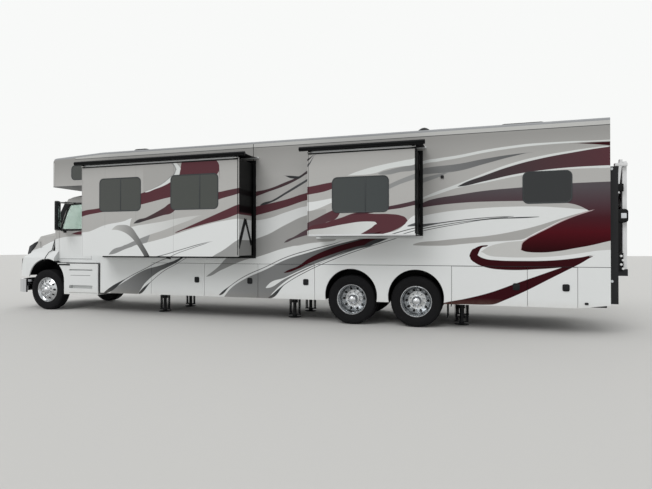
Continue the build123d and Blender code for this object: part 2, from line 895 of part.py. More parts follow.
def hood_form(inset):
    """The hood's outer form, set in by a wall everywhere but at its foot and rear edge."""
    with BuildPart() as form:
        with BuildSketch(Plane.XZ) as side_view:
            with BuildLine():
                Polyline([(along(s), z) for s, z in hood_side_points], close=True)
            make_face()
            if inset:
                offset(amount=-inset, kind=Kind.INTERSECTION)
                with Locations((along((hood_rear - 1060 + inset) / 2), hood_foot)):
                    Rectangle(hood_rear + 1060 - inset, 2 * inset + 2)
                with Locations((along(hood_rear), (hood_foot + 1975 - inset) / 2 - 20)):
                    Rectangle(2 * inset + 2, 1975 - inset - hood_foot + 40)
        extrude(amount=fender_width, both=True)
        with BuildSketch(Plane.YZ.offset(along(hood_rear + 200))) as front_view:
            with BuildLine():
                Polyline(mirrored_outline(hood_front_points), close=True)
            make_face()
            if inset:
                offset(amount=-inset, kind=Kind.INTERSECTION)
                with Locations((0, hood_foot)):
                    Rectangle(fender_width - 2 * inset, 2 * inset + 2)
        extrude(amount=1600, mode=Mode.INTERSECT)
        with BuildSketch(Plane.XY) as plan_view:
            half = [(along(s), y - inset) for s, y in hood_plan_points[:-1]]
            half.insert(0, (along(hood_rear + 100), half[0][1]))
            nose = (along(hood_plan_points[-1][0]) - inset, hood_plan_points[-1][1] - inset / 2)
            with BuildLine():
                Polyline(half + [nose] + [(x, -y) for x, y in reversed(half + [nose])], close=True)
            make_face()
        extrude(amount=4000, mode=Mode.INTERSECT)
        with BuildPart(mode=Mode.SUBTRACT):
            with BuildSketch(Plane.XY) as beside_crown:
                with BuildLine():
                    taper = [(along(s), y - inset) for s, y in hood_taper_points]
                    rim = [(along(-1200), hood_taper_points[-1][1] - inset), (along(-1200), fender_width)]
                    Polyline(taper + rim + [(along(hood_rear), fender_width)], close=True)
                make_face()
                mirror(about=Plane.XZ)
            extrude(amount=2500)
            with BuildSketch(Plane.XZ) as over_fender:
                with BuildLine():
                    tops = [(along(s), z - inset) for s, z in fender_top_points]
                    Polyline(tops + [(along(-1300), tops[-1][1]), (along(-1300), 2600), (tops[0][0], 2600)], close=True)
                make_face()
            extrude(amount=fender_width, both=True, mode=Mode.INTERSECT)
    return form.part


grille_half = 420
grille_heights = (930, 1560)
grille_slots = 9
slot_height = 38
lamp_outline = [
    (-560, 1745),
    (-650, 1735),
    (-930, 1400),
    (-1150, 1300),
    (-1150, 985),
    (-850, 985),
    (-760, 1360),
]
lamp_inner_side = 560
hood_lug_radius = 30
hood_outer = hood_form(0)
hood_inner = hood_form(hood_wall)
hood_skin = hood_form(4)
hood_skin_back = hood_form(26)


def hood_cut_side():
    """What the hood leaves to the cab and the wheel, seen from the side."""
    with BuildPart(mode=Mode.PRIVATE) as cut:
        cowl_side = [
            (hood_rear + 50, hood_step),
            (hood_rear, hood_step),
            (hood_rear - hood_step_run, front_arch_centre + front_arch_radius),
            (hood_rear - hood_step_run, 400),
            (hood_rear + 50, 400),
        ]
        across(side_outline(cowl_side), -1500, 1500)
        slab((-front_arch_radius, front_arch_radius), (-1500, 1500), (300, front_arch_centre))
        rod((0, -1500, front_arch_centre), (0, 1500, front_arch_centre), front_arch_radius)
    return cut.part


with BuildPart() as hood:
    add(hood_outer)
    add(hood_inner, mode=Mode.SUBTRACT)
    add(hood_cut_side(), mode=Mode.SUBTRACT)
    slab((-1200, -700), (-grille_half, grille_half), grille_heights, Mode.SUBTRACT)
    for name, side in mirrored_sides():
        across(side_outline(lamp_outline), side * lamp_inner_side, side * 1300, Mode.SUBTRACT)
        near = rail_outer + 20
        far = near + 35
        lug = side_outline(
            [
                (hood_pivot_station + hood_lug_radius, hood_pivot_height),
                (hood_pivot_station + hood_lug_radius, hood_pivot_height + 130),
                (hood_pivot_station - 25, hood_pivot_height + 130),
                (hood_pivot_station - hood_lug_radius, hood_pivot_height),
            ]
        )
        across(lug, side * near, side * far)
        rod(
            (hood_pivot_station, side * near, hood_pivot_height),
            (hood_pivot_station, side * far, hood_pivot_height),
            hood_lug_radius,
        )
        rod(
            (hood_pivot_station, side * (near - 5), hood_pivot_height),
            (hood_pivot_station, side * (far + 5), hood_pivot_height),
            hood_pin_radius + seat_gap,
            Mode.SUBTRACT,
        )
hood.part.label = "hood"
export_step(hood.part, "parts/hood.step")

with BuildPart() as grille:
    add(hood_skin)
    add(hood_skin_back, mode=Mode.SUBTRACT)
    slab(
        (-1200, -700),
        (-grille_half, grille_half),
        grille_heights,
        Mode.INTERSECT,
    )
    slot_pitch = (grille_heights[1] - grille_heights[0] - 60) / grille_slots
    for row in range(grille_slots):
        low = grille_heights[0] + 40 + row * slot_pitch
        slab((-1200, -700), (-grille_half + 50, grille_half - 50), (low, low + slot_height), Mode.SUBTRACT)
grille.part.label = "grille"
export_step(grille.part, "parts/grille.step")

with BuildPart() as headlamps:
    for name, side in mirrored_sides():
        across(side_outline(lamp_outline), side * lamp_inner_side, side * 1300)
    add(hood_skin, mode=Mode.INTERSECT)
    add(hood_skin_back, mode=Mode.SUBTRACT)
headlamps.part.label = "headlamps"
export_step(headlamps.part, "parts/headlamps.step")

# Step fairings under the cab doors, over the tanks; their front edge runs on round the wheel arch
fairing_front = 650
fairing_rear = 1585
fairing_nose = 300
fairing_arch_radius = front_arch_radius + 8
fairing_panel = 60
fairing_foot = 414
fairing_head = 1178
fairing_face = 1190
fairing_back = 560

with BuildPart() as step_fairings:
    for name, side in mirrored_sides():
        ys = (side * fairing_back, side * fairing_face)
        slab((fairing_front, fairing_rear), ys, (fairing_foot, fairing_head))
        panel_sides = (side * (fairing_face - fairing_panel), side * fairing_face)
        slab((fairing_nose, fairing_front), panel_sides, (fairing_foot, fairing_head))
        slab(
            (0, fairing_arch_radius),
            (side * (fairing_face - 200), side * (fairing_face + 20)),
            (fairing_foot - 20, front_arch_centre),
            Mode.SUBTRACT,
        )
        rod(
            (0, side * (fairing_face - 200), front_arch_centre),
            (0, side * (fairing_face + 20), front_arch_centre),
            fairing_arch_radius,
            Mode.SUBTRACT,
        )
        slab((900, 1100), (side * rail_outer, side * fairing_back), (820, 1000))
        for depth, heights in ((60, (1000, 1030)), (90, (560, 640))):
            recess = (side * (fairing_face - depth), side * (fairing_face + 20))
            slab((720, 1420), recess, heights, Mode.SUBTRACT)
step_fairings.part.label = "step_fairings"
export_step(step_fairings.part, "parts/step_fairings.step")

# Front bumper: a bowed steel bar with swept corners, on the ends of the rails
bumper_heights = (430, 765)
bumper_points = [
    (-front_overhang, 0),
    (-front_overhang + 10, 420),
    (-1090, 820),
    (-960, 1090),
    (-760, 1190),
    (-640, 1200),
]
bumper_thickness = 45

with BuildPart() as front_bumper:
    with BuildSketch(Plane.XY.offset(bumper_heights[0])) as bar:
        outer = [(along(s), y) for s, y in bumper_points]
        inner = [(x - bumper_thickness, max(y - bumper_thickness * 0.7, 0)) for x, y in outer[:-1]]
        inner.append((outer[-1][0], outer[-1][1] - bumper_thickness))
        loop = outer + list(reversed(inner))
        with BuildLine():
            Polyline(loop, close=True)
        make_face()
        mirror(about=Plane.XZ)
    extrude(amount=bumper_heights[1] - bumper_heights[0])
    for name, side in mirrored_sides():
        slab(
            (-1140, rail_front - 105),
            (side * rail_inner, side * rail_outer),
            (640, hood_pivot_height - 40),
        )
        slab((-1060, -760), (side * rail_inner, side * rail_outer), (640, 700))
        slab((-850, -760), (side * rail_inner, side * rail_outer), (640, rail_foot))
front_bumper.part.label = "front_bumper"
export_step(front_bumper.part, "parts/front_bumper.step")

# House floor, with the entry step well cut out on the right
entry_front = 2050
entry_rear = 2770
entry_door_foot = 800
entry_hinge_station = entry_front + panel_gap + bay_hinge_inset
entry_door_head = 3060
step_well_side = 760

with BuildPart() as house_floor:
    slab((house_start + wall, rear_end - wall), (-wall_inner, wall_inner), (floor_foot, floor_top))
    slab((entry_front, entry_rear), (-wall_inner, -step_well_side), (floor_foot, floor_top), Mode.SUBTRACT)
house_floor.part.label = "house_floor"
export_step(house_floor.part, "parts/house_floor.step")

# Side walls, with the over-cab sides, cut for slide rooms, windows and the entry door
nose_roof = roof_height - nose_roof_drop
roof_level_from = house_start + wall
nose_slope = nose_roof_drop / (roof_level_from - overcab_nose - wall)
nose_round = 110
nose_turns = 4
nose_head = nose_roof - roof_panel - 6


def nose_arc(foot, head):
    """Points up the nose's rounded edge between two heights, from its face into the sloping roof."""
    centre = nose_roof - nose_round
    first, last = [asin((height - centre) / nose_round) for height in (foot, head)]
    arc = []
    for k in range(nose_turns + 1):
        turn = first + (last - first) * k / nose_turns
        back = nose_round * (1 - cos(turn))
        arc.append((overcab_nose + back, centre + (nose_round + nose_slope * back) * sin(turn)))
    return arc


wall_points = [
    (house_start, belt_height),
    (rear_end - wall, belt_height),
    (rear_end - wall, wall_top),
    (roof_level_from, wall_top),
    (overcab_nose + wall, nose_roof - roof_panel),
    (overcab_nose + wall, overcab_foot),
    (house_start, overcab_foot),
]
sill_pad_width = 140

for name, side in mirrored_sides():
    bays = bays_left if side > 0 else bays_right
    with BuildPart() as side_wall:
        across(side_outline(wall_points), side * wall_inner, side * half_house)
        for room in slide_rooms.values():
            if room["side"] == side:
                gap = slide_clearance
                slab(
                    (room["front"] - gap, room["rear"] + gap),
                    (side * (wall_inner - 10), side * (half_house + 10)),
                    (room["foot"] - gap, room["head"] + gap),
                    Mode.SUBTRACT,
                )
                for end in (room["front"] + 400, room["rear"] - 400):
                    slab(
                        (end - sill_pad_width / 2, end + sill_pad_width / 2),
                        (side * wall_inner, side * half_house),
                        (room["foot"] - gap, room["foot"] - seat_gap),
                    )
        for first, last, sill, head in wall_windows[side]:
            window_opening(side * half_house, side, (first, last), (sill, head))
        if side < 0:
            slab(
                (entry_front, entry_rear),
                (side * (wall_inner - 10), side * (half_house + 10)),
                (belt_height - 10, entry_door_head + panel_gap),
                Mode.SUBTRACT,
            )
            rod(
                (entry_hinge_station, side * (half_house - bay_hinge_inset), entry_door_head + 20),
                (entry_hinge_station, side * (half_house - bay_hinge_inset), entry_door_head - 30),
                bay_pin_radius,
            )
        for first, last in bays:
            pin_station = first + panel_gap / 2 + bay_hinge_inset
            pin_side = side * (half_house - bay_hinge_inset)
            rod(
                (pin_station, pin_side, belt_height + 10),
                (pin_station, pin_side, door_top - 25),
                bay_pin_radius,
            )
    side_wall.part.label = f"wall_{name}"
    export_step(side_wall.part, f"parts/wall_{name}.step")

# House front: the bulkhead behind the cab with its pass-through, the over-cab floor and the nose
with BuildPart() as house_front:
    slab((house_start, house_start + wall), (-wall_inner, wall_inner), (belt_height, overcab_foot))
    bunk_stations = (overcab_nose + wall, house_start + wall)
    slab(bunk_stations, (-wall_inner, wall_inner), (overcab_foot, overcab_foot + wall))
    nose_points = [
        (overcab_nose, overcab_foot),
        *nose_arc(nose_roof - nose_round, nose_head),
        (overcab_nose + wall, nose_head),
        (overcab_nose + wall, overcab_foot),
    ]
    across(side_outline(nose_points), -half_house, half_house)
    slab(
        (house_start - 10, house_start + wall + 10),
        (-rear_pass_half, rear_pass_half),
        (rear_pass[0], rear_pass[1]),
        Mode.SUBTRACT,
    )
house_front.part.label = "house_front"
export_step(house_front.part, "parts/house_front.step")

# Rear cap: the back wall, from the roof to the foot of the skirts
rear_cap_foot = 545
with BuildPart() as rear_cap:
    slab((rear_end - wall, rear_end), (-half_house, half_house), (rear_cap_foot, wall_top))
    slab(
        (rear_end - wall - 10, rear_end + 10),
        (-receiver_size / 2 - 15, receiver_size / 2 + 15),
        (rear_cap_foot - 10, receiver_height + receiver_size / 2 + 15),
        Mode.SUBTRACT,
    )
rear_cap.part.label = "rear_cap"
export_step(rear_cap.part, "parts/rear_cap.step")

# Roof: one crowned-edge skin that slopes down to the nose over the cab
roof_points = [
    *nose_arc(nose_roof - roof_panel, nose_roof),
    (roof_level_from, roof_height),
    (rear_end, roof_height),
    (rear_end, wall_top),
    (roof_level_from, wall_top),
    (overcab_nose + wall, nose_roof - roof_panel),
]
with BuildPart() as house_roof:
    across(side_outline(roof_points), -half_house, half_house)
    fillet(house_roof.edges().filter_by(Axis.X).group_by(Axis.Z)[-1], radius=30)
house_roof.part.label = "house_roof"
export_step(house_roof.part, "parts/house_roof.step")

# Fixed glass: the house's side windows and the windshield
with BuildPart() as fixed_glass:
    for name, side in mirrored_sides():
        for first, last, sill, head in wall_windows[side]:
            window_pane(side * half_house, side, (first, last), (sill, head))
    with BuildSketch(windshield_plane.offset(-pane_rebate)) as screen:
        RectangleRounded(
            2 * windshield_half - 2 * seat_gap, windshield_length - 2 * windshield_margin - 2 * seat_gap, 70
        )
    extrude(amount=pane_rebate)
fixed_glass.part.label = "fixed_glass"
export_step(fixed_glass.part, "parts/fixed_glass.step")

# Skirts: the fixed lower panels between and beside the baggage doors, with the rear wheel arches
skirt_inner = half_house - wall


def arched_panel():
    """The panel over the tandem, with an arch round each wheel."""
    with BuildSketch(Plane.XZ) as panel:
        with BuildLine():
            Polyline(
                (along(fender_front + panel_gap / 2), skirt_foot),
                (along(fender_front + panel_gap / 2), belt_height),
                (along(fender_rear - panel_gap / 2), belt_height),
                (along(fender_rear - panel_gap / 2), skirt_foot),
                close=True,
            )
        make_face()
        with Locations(*[(along(station), arch_centre) for station in rear_axle_stations]):
            Circle(arch_radius, mode=Mode.SUBTRACT)
        for station in rear_axle_stations:
            with Locations((along(station), skirt_foot)):
                Rectangle(2 * arch_radius * 0.978, 2, mode=Mode.SUBTRACT)
    return panel.sketch


with BuildPart() as skirts:
    for name, side in mirrored_sides():
        ys = (side * skirt_inner, side * half_house)
        across(arched_panel(), *ys)
        if side > 0:
            slab((house_start, bays_left[0][0] - panel_gap / 2), ys, (skirt_foot, belt_height))
            across(
                side_outline(
                    [
                        (bays_left[-1][1] + panel_gap / 2, skirt_foot),
                        (bays_left[-1][1] + panel_gap / 2, belt_height),
                        (rear_end - wall, belt_height),
                        (rear_end - wall, rear_cap_foot),
                    ]
                ),
                *ys,
            )
        else:
            door_span = (entry_front - panel_gap / 2, entry_rear + panel_gap / 2)
            slab((house_start, door_span[0]), ys, (skirt_foot, belt_height))
            slab(door_span, ys, (skirt_foot, entry_door_foot - panel_gap))
            slab((door_span[1], bays_right[0][0] - panel_gap / 2), ys, (skirt_foot, belt_height))
            across(
                side_outline(
                    [
                        (fender_rear + panel_gap / 2, skirt_foot),
                        (fender_rear + panel_gap / 2, belt_height),
                        (rear_end - wall, belt_height),
                        (rear_end - wall, rear_cap_foot),
                        (bays_left[-1][1], skirt_foot),
                    ]
                ),
                *ys,
            )
skirts.part.label = "skirts"
export_step(skirts.part, "parts/skirts.step")

# Baggage doors, each hinged at its front edge on a pin under the wall, with a latch near its rear
for name, side in mirrored_sides():
    for number, (first, last) in enumerate(bays_left if side > 0 else bays_right, 1):
        with BuildPart() as bay_door:
            front = first + panel_gap / 2
            rear = last - panel_gap / 2
            ys = (side * (half_house - door_panel), side * half_house)
            slab((front, rear), ys, (skirt_foot, door_top))
            latch_middle = last - latch_setback
            latch_level = (skirt_foot + door_top) / 2
            slab(
                (latch_middle - latch_width / 2, latch_middle + latch_width / 2),
                (side * half_house, side * (half_house + latch_proud)),
                (latch_level - latch_height / 2, latch_level + latch_height / 2),
            )
            rod(
                (front + bay_hinge_inset, side * (half_house - bay_hinge_inset), door_top + 5),
                (front + bay_hinge_inset, side * (half_house - bay_hinge_inset), door_top - 30),
                bay_pin_radius + seat_gap,
                Mode.SUBTRACT,
            )
        bay_door.part.label = f"bay_door_{name}_{number}"
        export_step(bay_door.part, f"parts/bay_door_{name}_{number}.step")

# Basement: the bays behind the doors, each bank a floor, an inner wall and bulkheads, and steps
bay_plate = 20
bay_back = jack_side + jack_body_radius + 40
well_panel_side = 570
well_panel_foot = 640
well_panel_thickness = 12
bank_table = [
    (1, (house_start + wall, 3170, 4560, 5860, 7100)),
    (1, (9930, 11230, 12060, 12530)),
    (-1, (2900, 5000, 7100)),
    (-1, (9930, 11230, 12530)),
]

with BuildPart() as basement:
    for side, stations in bank_table:
        ends = (stations[0], stations[-1])
        slab(ends, (side * bay_back, side * wall_inner), (skirt_foot + 20, skirt_foot + 20 + bay_plate))
        slab(ends, (side * bay_back, side * (bay_back + bay_plate)), (skirt_foot + 20, floor_foot))
        for station in stations:
            inside = station + bay_plate if station < ends[1] else station - bay_plate
            slab((station, inside), (side * bay_back, side * wall_inner), (skirt_foot + 20, floor_foot))
    for name, side in mirrored_sides():
        slab(
            (fender_front + 10, fender_rear - 10),
            (side * well_panel_side, side * (well_panel_side + well_panel_thickness)),
            (well_panel_foot, floor_foot),
        )
    well = (-wall_inner, -step_well_side)
    slab((entry_front, entry_rear), well, (entry_door_foot - 40, entry_door_foot - 10))
    well_foot = entry_door_foot - 40
    slab((entry_front, entry_rear), (-step_well_side - 235, -step_well_side), (well_foot, 1090))
    slab((entry_front, entry_rear), (-step_well_side, -step_well_side + 30), (well_foot, floor_foot))
basement.part.label = "basement"
export_step(basement.part, "parts/basement.step")

# Entry door on the right, hinged at its front edge; its window pane is one with it
with BuildPart() as entry_door:
    slab(
        (entry_front + panel_gap, entry_rear - panel_gap),
        (-half_house, -half_house + door_panel),
        (entry_door_foot, entry_door_head),
    )
    entry_window = (entry_front + 170, entry_rear - 170), (2150, 2850)
    window_opening(-half_house, -1, *entry_window)
    across(side_rectangle(*entry_window, window_corner), -half_house, -half_house + pane_rebate)
    rod(
        (entry_hinge_station, -(half_house - bay_hinge_inset), entry_door_head + 5),
        (entry_hinge_station, -(half_house - bay_hinge_inset), entry_door_head - 35),
        bay_pin_radius + seat_gap,
        Mode.SUBTRACT,
    )
entry_door.part.label = "entry_door"
export_step(entry_door.part, "parts/entry_door.step")

# Slide-out rooms: a face with a fascia lip, four sides, open inward; the awning roller above
roller_radius = 40
roller_height_gap = 38
roller_overhang = 170
roller_centre = slide_face + 48
bracket_width = 50

for name, room in slide_rooms.items():
    side = room["side"]
    inner_edge = slide_face - slide_depth
    with BuildPart() as slide_room:
        slab(
            (room["front"], room["rear"]),
            (side * inner_edge, side * slide_face),
            (room["foot"], room["head"]),
        )
        slab(
            (room["front"] + slide_wall, room["rear"] - slide_wall),
            (side * (inner_edge - 10), side * (slide_face - slide_wall)),
            (room["foot"] + slide_wall, room["head"] - slide_wall),
            Mode.SUBTRACT,
        )
        slab(
            (room["front"] - fascia, room["rear"] + fascia),
            (side * (slide_face - fascia), side * slide_face),
            (room["foot"] - fascia, room["head"] + fascia),
        )
        for first, last, sill, head in slide_windows[name]:
            window_opening(side * slide_face, side, (first, last), (sill, head))
        roller_level = room["head"] + roller_height_gap + roller_radius
        rod(
            (room["front"] - roller_overhang, side * roller_centre, roller_level),
            (room["rear"] + roller_overhang, side * roller_centre, roller_level),
            roller_radius,
        )
        for station in (room["front"] + 10, room["rear"] - 10 - bracket_width):
            slab(
                (station, station + bracket_width),
                (side * (slide_face - 15), side * roller_centre),
                (room["head"], roller_level),
            )
    slide_room.part.label = name
    export_step(slide_room.part, f"parts/{name}.step")
    with BuildPart() as slide_window:
        for first, last, sill, head in slide_windows[name]:
            window_pane(side * slide_face, side, (first, last), (sill, head))
    slide_window.part.label = f"{name}_windows"
    export_step(slide_window.part, f"parts/{name}_windows.step")

# Rubber seals round the slide openings, the boot between cab and house, and the mud flaps
boot_lip = 60
flap_station = 9800
with BuildPart() as seals_and_flaps:
    for room in slide_rooms.values():
        side = room["side"]
        opening = slide_clearance
        slab(
            (room["front"] - opening - seal_width, room["rear"] + opening + seal_width),
            (side * half_house, side * (half_house + seal_proud)),
            (room["foot"] - opening - seal_width, room["head"] + opening + seal_width),
        )
        slab(
            (room["front"] - opening, room["rear"] + opening),
            (side * (half_house - 5), side * (half_house + seal_proud + 5)),
            (room["foot"] - opening, room["head"] + opening),
            Mode.SUBTRACT,
        )
    slab(
        (cab_rear, house_start),
        (-rear_pass_half - boot_lip, rear_pass_half + boot_lip),
        (rear_pass[0] - boot_lip, rear_pass[1] + boot_lip),
    )
    slab((cab_rear - 5, house_start + 5), (-rear_pass_half, rear_pass_half), rear_pass, Mode.SUBTRACT)
    for name, side in mirrored_sides():
        slab((flap_station, flap_station + 12), (side * 600, side * 1215), (210, floor_foot))
seals_and_flaps.part.label = "seals_and_flaps"
export_step(seals_and_flaps.part, "parts/seals_and_flaps.step")

# Roof units: air conditioners, vent lids and an aerial dome, as shrouds that taper to their tops
# Columns: first station, last station, half width, height above the roof
roof_boxes = [
    (1830, 2300, 300, 285),
    (3300, 3900, 240, 150),
    (5950, 6450, 250, 265),
    (6700, 8230, 300, 250),
    (10800, 11700, 340, 262),
]
unit_corner = 70
unit_taper = 14
dome_station = 9260
dome_radius = 210
dome_height = 355
dome_taper = 15

with BuildPart() as roof_units:
    for first, last, half, height in roof_boxes:
        with BuildSketch(Plane.XY.offset(roof_height)) as base:
            with Locations((along((first + last) / 2), 0)):
                RectangleRounded(last - first, 2 * half, unit_corner)
        extrude(amount=height, taper=unit_taper)
    with BuildSketch(Plane.XY.offset(roof_height)) as dome_base:
        with Locations((along(dome_station), 0)):
            Circle(dome_radius)
    extrude(amount=dome_height, taper=dome_taper)
roof_units.part.label = "roof_units"
export_step(roof_units.part, "parts/roof_units.step")

# Patio awning, rolled up in its case on the right
awning_stations = (2000, 7050)
awning_heights = (3560, 3690)
awning_depth = 110

with BuildPart() as patio_awning:
    slab(awning_stations, (-half_house - awning_depth, -half_house), awning_heights)
patio_awning.part.label = "patio_awning"
export_step(patio_awning.part, "parts/patio_awning.step")

# Rear carrier: a mast frame on the back wall and the platform folded up against it
mast_depth = 100
post_depth = 165
mast_half = 1100
mast_heights = (560, 3010)
post_width = 120
deck_hinge_height = 1120
deck_length = 2030
deck_half = 990
deck_thickness = 70
deck_hinge_station = rear_end + carrier_reach - deck_thickness / 2
deck_rail = 60
deck_pin_radius = 14
deck_slats = 9
deck_plate = 12

with BuildPart() as carrier_mast:
    mast_stations = (rear_end, rear_end + mast_depth)
    for name, side in mirrored_sides():
        post_stations = (rear_end, rear_end + post_depth)
        slab(post_stations, (side * (mast_half - post_width), side * mast_half), mast_heights)
        slab(mast_stations, (side * 330, side * 430), mast_heights)
        slab(
            (rear_end + mast_depth, deck_hinge_station + deck_thickness / 2),
            (side * (deck_half + 12), side * (deck_half + 42)),
            (deck_hinge_height - 60, deck_hinge_height + 60),
        )
        rod(
            (deck_hinge_station, side * (deck_half + 15), deck_hinge_height),
            (deck_hinge_station, side * (deck_half - 40), deck_hinge_height),
            deck_pin_radius,
        )
    for low in (mast_heights[0] + 190, 1060, 1900, mast_heights[1] - 100):
        slab(mast_stations, (-mast_half, mast_half), (low, low + 100))
carrier_mast.part.label = "carrier_mast"
export_step(carrier_mast.part, "parts/carrier_mast.step")

with BuildPart() as carrier_deck:
    deck_front = deck_hinge_station - deck_thickness / 2
    deck_rear = deck_hinge_station + deck_thickness / 2
    deck_foot = deck_hinge_height - 45
    for name, side in mirrored_sides():
        slab(
            (deck_front, deck_rear),
            (side * (deck_half - deck_rail), side * deck_half),
            (deck_foot, deck_foot + deck_length),
        )
    slab(
        (deck_rear - 10 - deck_plate, deck_rear - 10),
        (-deck_half, deck_half),
        (deck_foot, deck_foot + deck_length),
    )
    for row in range(deck_slats):
        low = deck_foot + row * (deck_length - deck_rail) / (deck_slats - 1)
        slab((deck_front + 10, deck_rear - 10), (-deck_half, deck_half), (low, low + deck_rail))
    for name, side in mirrored_sides():
        rod(
            (deck_hinge_station, side * (deck_half + 5), deck_hinge_height),
            (deck_hinge_station, side * (deck_half - 45), deck_hinge_height),
            deck_pin_radius + seat_gap,
            Mode.SUBTRACT,
        )
carrier_deck.part.label = "carrier_deck"
export_step(carrier_deck.part, "parts/carrier_deck.step")

# Rear lamps, proud of the back wall between the mast's posts and its lower rails
lamp_heights = (875, 1035)
lamp_sides = (560, 940)
with BuildPart() as rear_lamps:
    for name, side in mirrored_sides():
        slab((rear_end, rear_end + 30), [side * y for y in lamp_sides], lamp_heights)
rear_lamps.part.label = "rear_lamps"
export_step(rear_lamps.part, "parts/rear_lamps.step")
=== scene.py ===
import math
import bpy
import numpy as np
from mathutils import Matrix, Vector


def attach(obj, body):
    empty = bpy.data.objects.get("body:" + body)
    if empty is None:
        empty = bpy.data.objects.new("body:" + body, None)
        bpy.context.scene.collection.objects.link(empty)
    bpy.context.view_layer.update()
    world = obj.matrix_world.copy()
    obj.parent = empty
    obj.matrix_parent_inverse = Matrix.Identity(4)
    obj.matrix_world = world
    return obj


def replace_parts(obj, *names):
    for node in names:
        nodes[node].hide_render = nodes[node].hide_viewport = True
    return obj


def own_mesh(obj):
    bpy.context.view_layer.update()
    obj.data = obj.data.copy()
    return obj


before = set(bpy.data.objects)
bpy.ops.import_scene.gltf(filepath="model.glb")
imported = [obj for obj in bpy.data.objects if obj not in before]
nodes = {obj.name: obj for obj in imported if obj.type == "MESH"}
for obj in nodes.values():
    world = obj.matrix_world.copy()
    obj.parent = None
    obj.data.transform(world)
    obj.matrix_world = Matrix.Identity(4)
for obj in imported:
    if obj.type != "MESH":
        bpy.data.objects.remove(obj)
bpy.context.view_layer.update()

# A station is a distance in metres back from the front axle; frontAxleX is that axle's X.
frontAxleX = 5.865
houseSide = 1.275  # how far the house's side walls stand out from the middle
slideSide = 1.995  # how far the slide rooms' faces stand out


def along(station):
    return frontAxleX - np.asarray(station, float)


def hexColor(text):  # sRGB hex to linear red, green, blue, alpha
    channels = [int(text[i:i + 2], 16) / 255 for i in (1, 3, 5)]
    linear = [c / 12.92 if c <= 0.04045 else ((c + 0.055) / 1.055) ** 2.4 for c in channels]
    return (*linear, 1.0)


# Each input is given a value, or a link where it is another node's output. A colour Mix takes its factor at
# 0 and its colours at 6 and 7, and gives its colour at output 2. A Map Range takes its value at 0, the range
# that it reads at 1 and 2, and the one that it gives at 3 and 4.
def addNode(tree, kind, settings=None, inputs=None):
    node = tree.nodes.new("ShaderNode" + kind)
    for name, value in (settings or {}).items():
        setattr(node, name, value)
    for name, value in (inputs or {}).items():
        if isinstance(value, bpy.types.NodeSocket):
            tree.links.new(value, node.inputs[name])
        else:
            node.inputs[name].default_value = value
    return node


def startMaterial(name, **shaderValues):  # a Principled material and its tree, shader and Object coordinates
    material = bpy.data.materials.new(name)
    material.use_nodes = True
    tree = material.node_tree
    shader = tree.nodes["Principled BSDF"]
    for key, value in shaderValues.items():
        shader.inputs[key.replace("_", " ")].default_value = value
    place = addNode(tree, "TexCoord").outputs["Object"]
    return material, tree, shader, place


def grainBump(tree, shader, place, sizeMm, height, detail=2.0):  # fine bump: one every sizeMm, height mm deep
    noise = addNode(tree, "TexNoise", inputs={"Scale": 1000 / sizeMm, "Detail": detail, "Vector": place})
    raised = {"Strength": 0.35, "Distance": height / 1000, "Height": noise.outputs["Fac"]}
    bump = addNode(tree, "Bump", inputs=raised)
    tree.links.new(bump.outputs["Normal"], shader.inputs["Normal"])
    return noise


# Body paint: two-coat acrylic, sprayed over gel-coated fibreglass sheet and masked into sweeps with blended
# colours. It gives the eye crisp edges, a very faint sheen, and road dust along its foot.
paint = {
    "roughness": 0.34, "sheen": 0.06,
    "edge": 0.003,                 # half the width of a masked edge
    "tip": 0.012,                  # how far the lower edge passes over the upper one past each end
    "dust": "#A59A8A", "dustFrom": 0.62, "dustFull": 0.40, "dustShare": 0.35,
    "coverOut": 1.3, "coverOver": 3.386,  # whatever stands out and up further than this is black
}
curveTop = 4.0  # heights are divided by this, to lie between 0 and about 1 as a curve needs them
paintTones = {
    "white": "#DADCDC", "pale": "#D3D6D5", "field": "#A5A4A2", "fieldLight": "#BDBDBB", "midGrey": "#8E8F8F",
    "darkGrey": "#58595B", "deepGrey": "#38393B", "line": "#3C3E40", "burgundy": "#57343A", "wine": "#320A11",
    "smoke": "#534A4E", "blush": "#B9A6A8", "blackSealAndShade": "#08090A",
}
# Tones that change with the height: (height in metres, colour)
risingTones = {
    "haze": [(1.90, "#AEADAB"), (2.60, "#B1B0AE"), (3.10, "#AEADAB"), (3.40, "#A3A2A0"), (3.65, "#989795")],
    "dusk": [(1.50, "#260408"), (1.85, "#4A0E17"), (2.10, "#431D24"), (2.30, "#4A343A"), (2.65, "#534D51")],
}


def strip(front, rear, stations, tops, feet):  # a sweep whose edges have their points at the same stations
    return front, rear, list(zip(stations, tops)), list(zip(stations, feet))


def bar(tone, first, last, low, high):  # a straight line from station to station, between two heights
    return strip(tone, tone, (first, last), (high, high), (low, low))


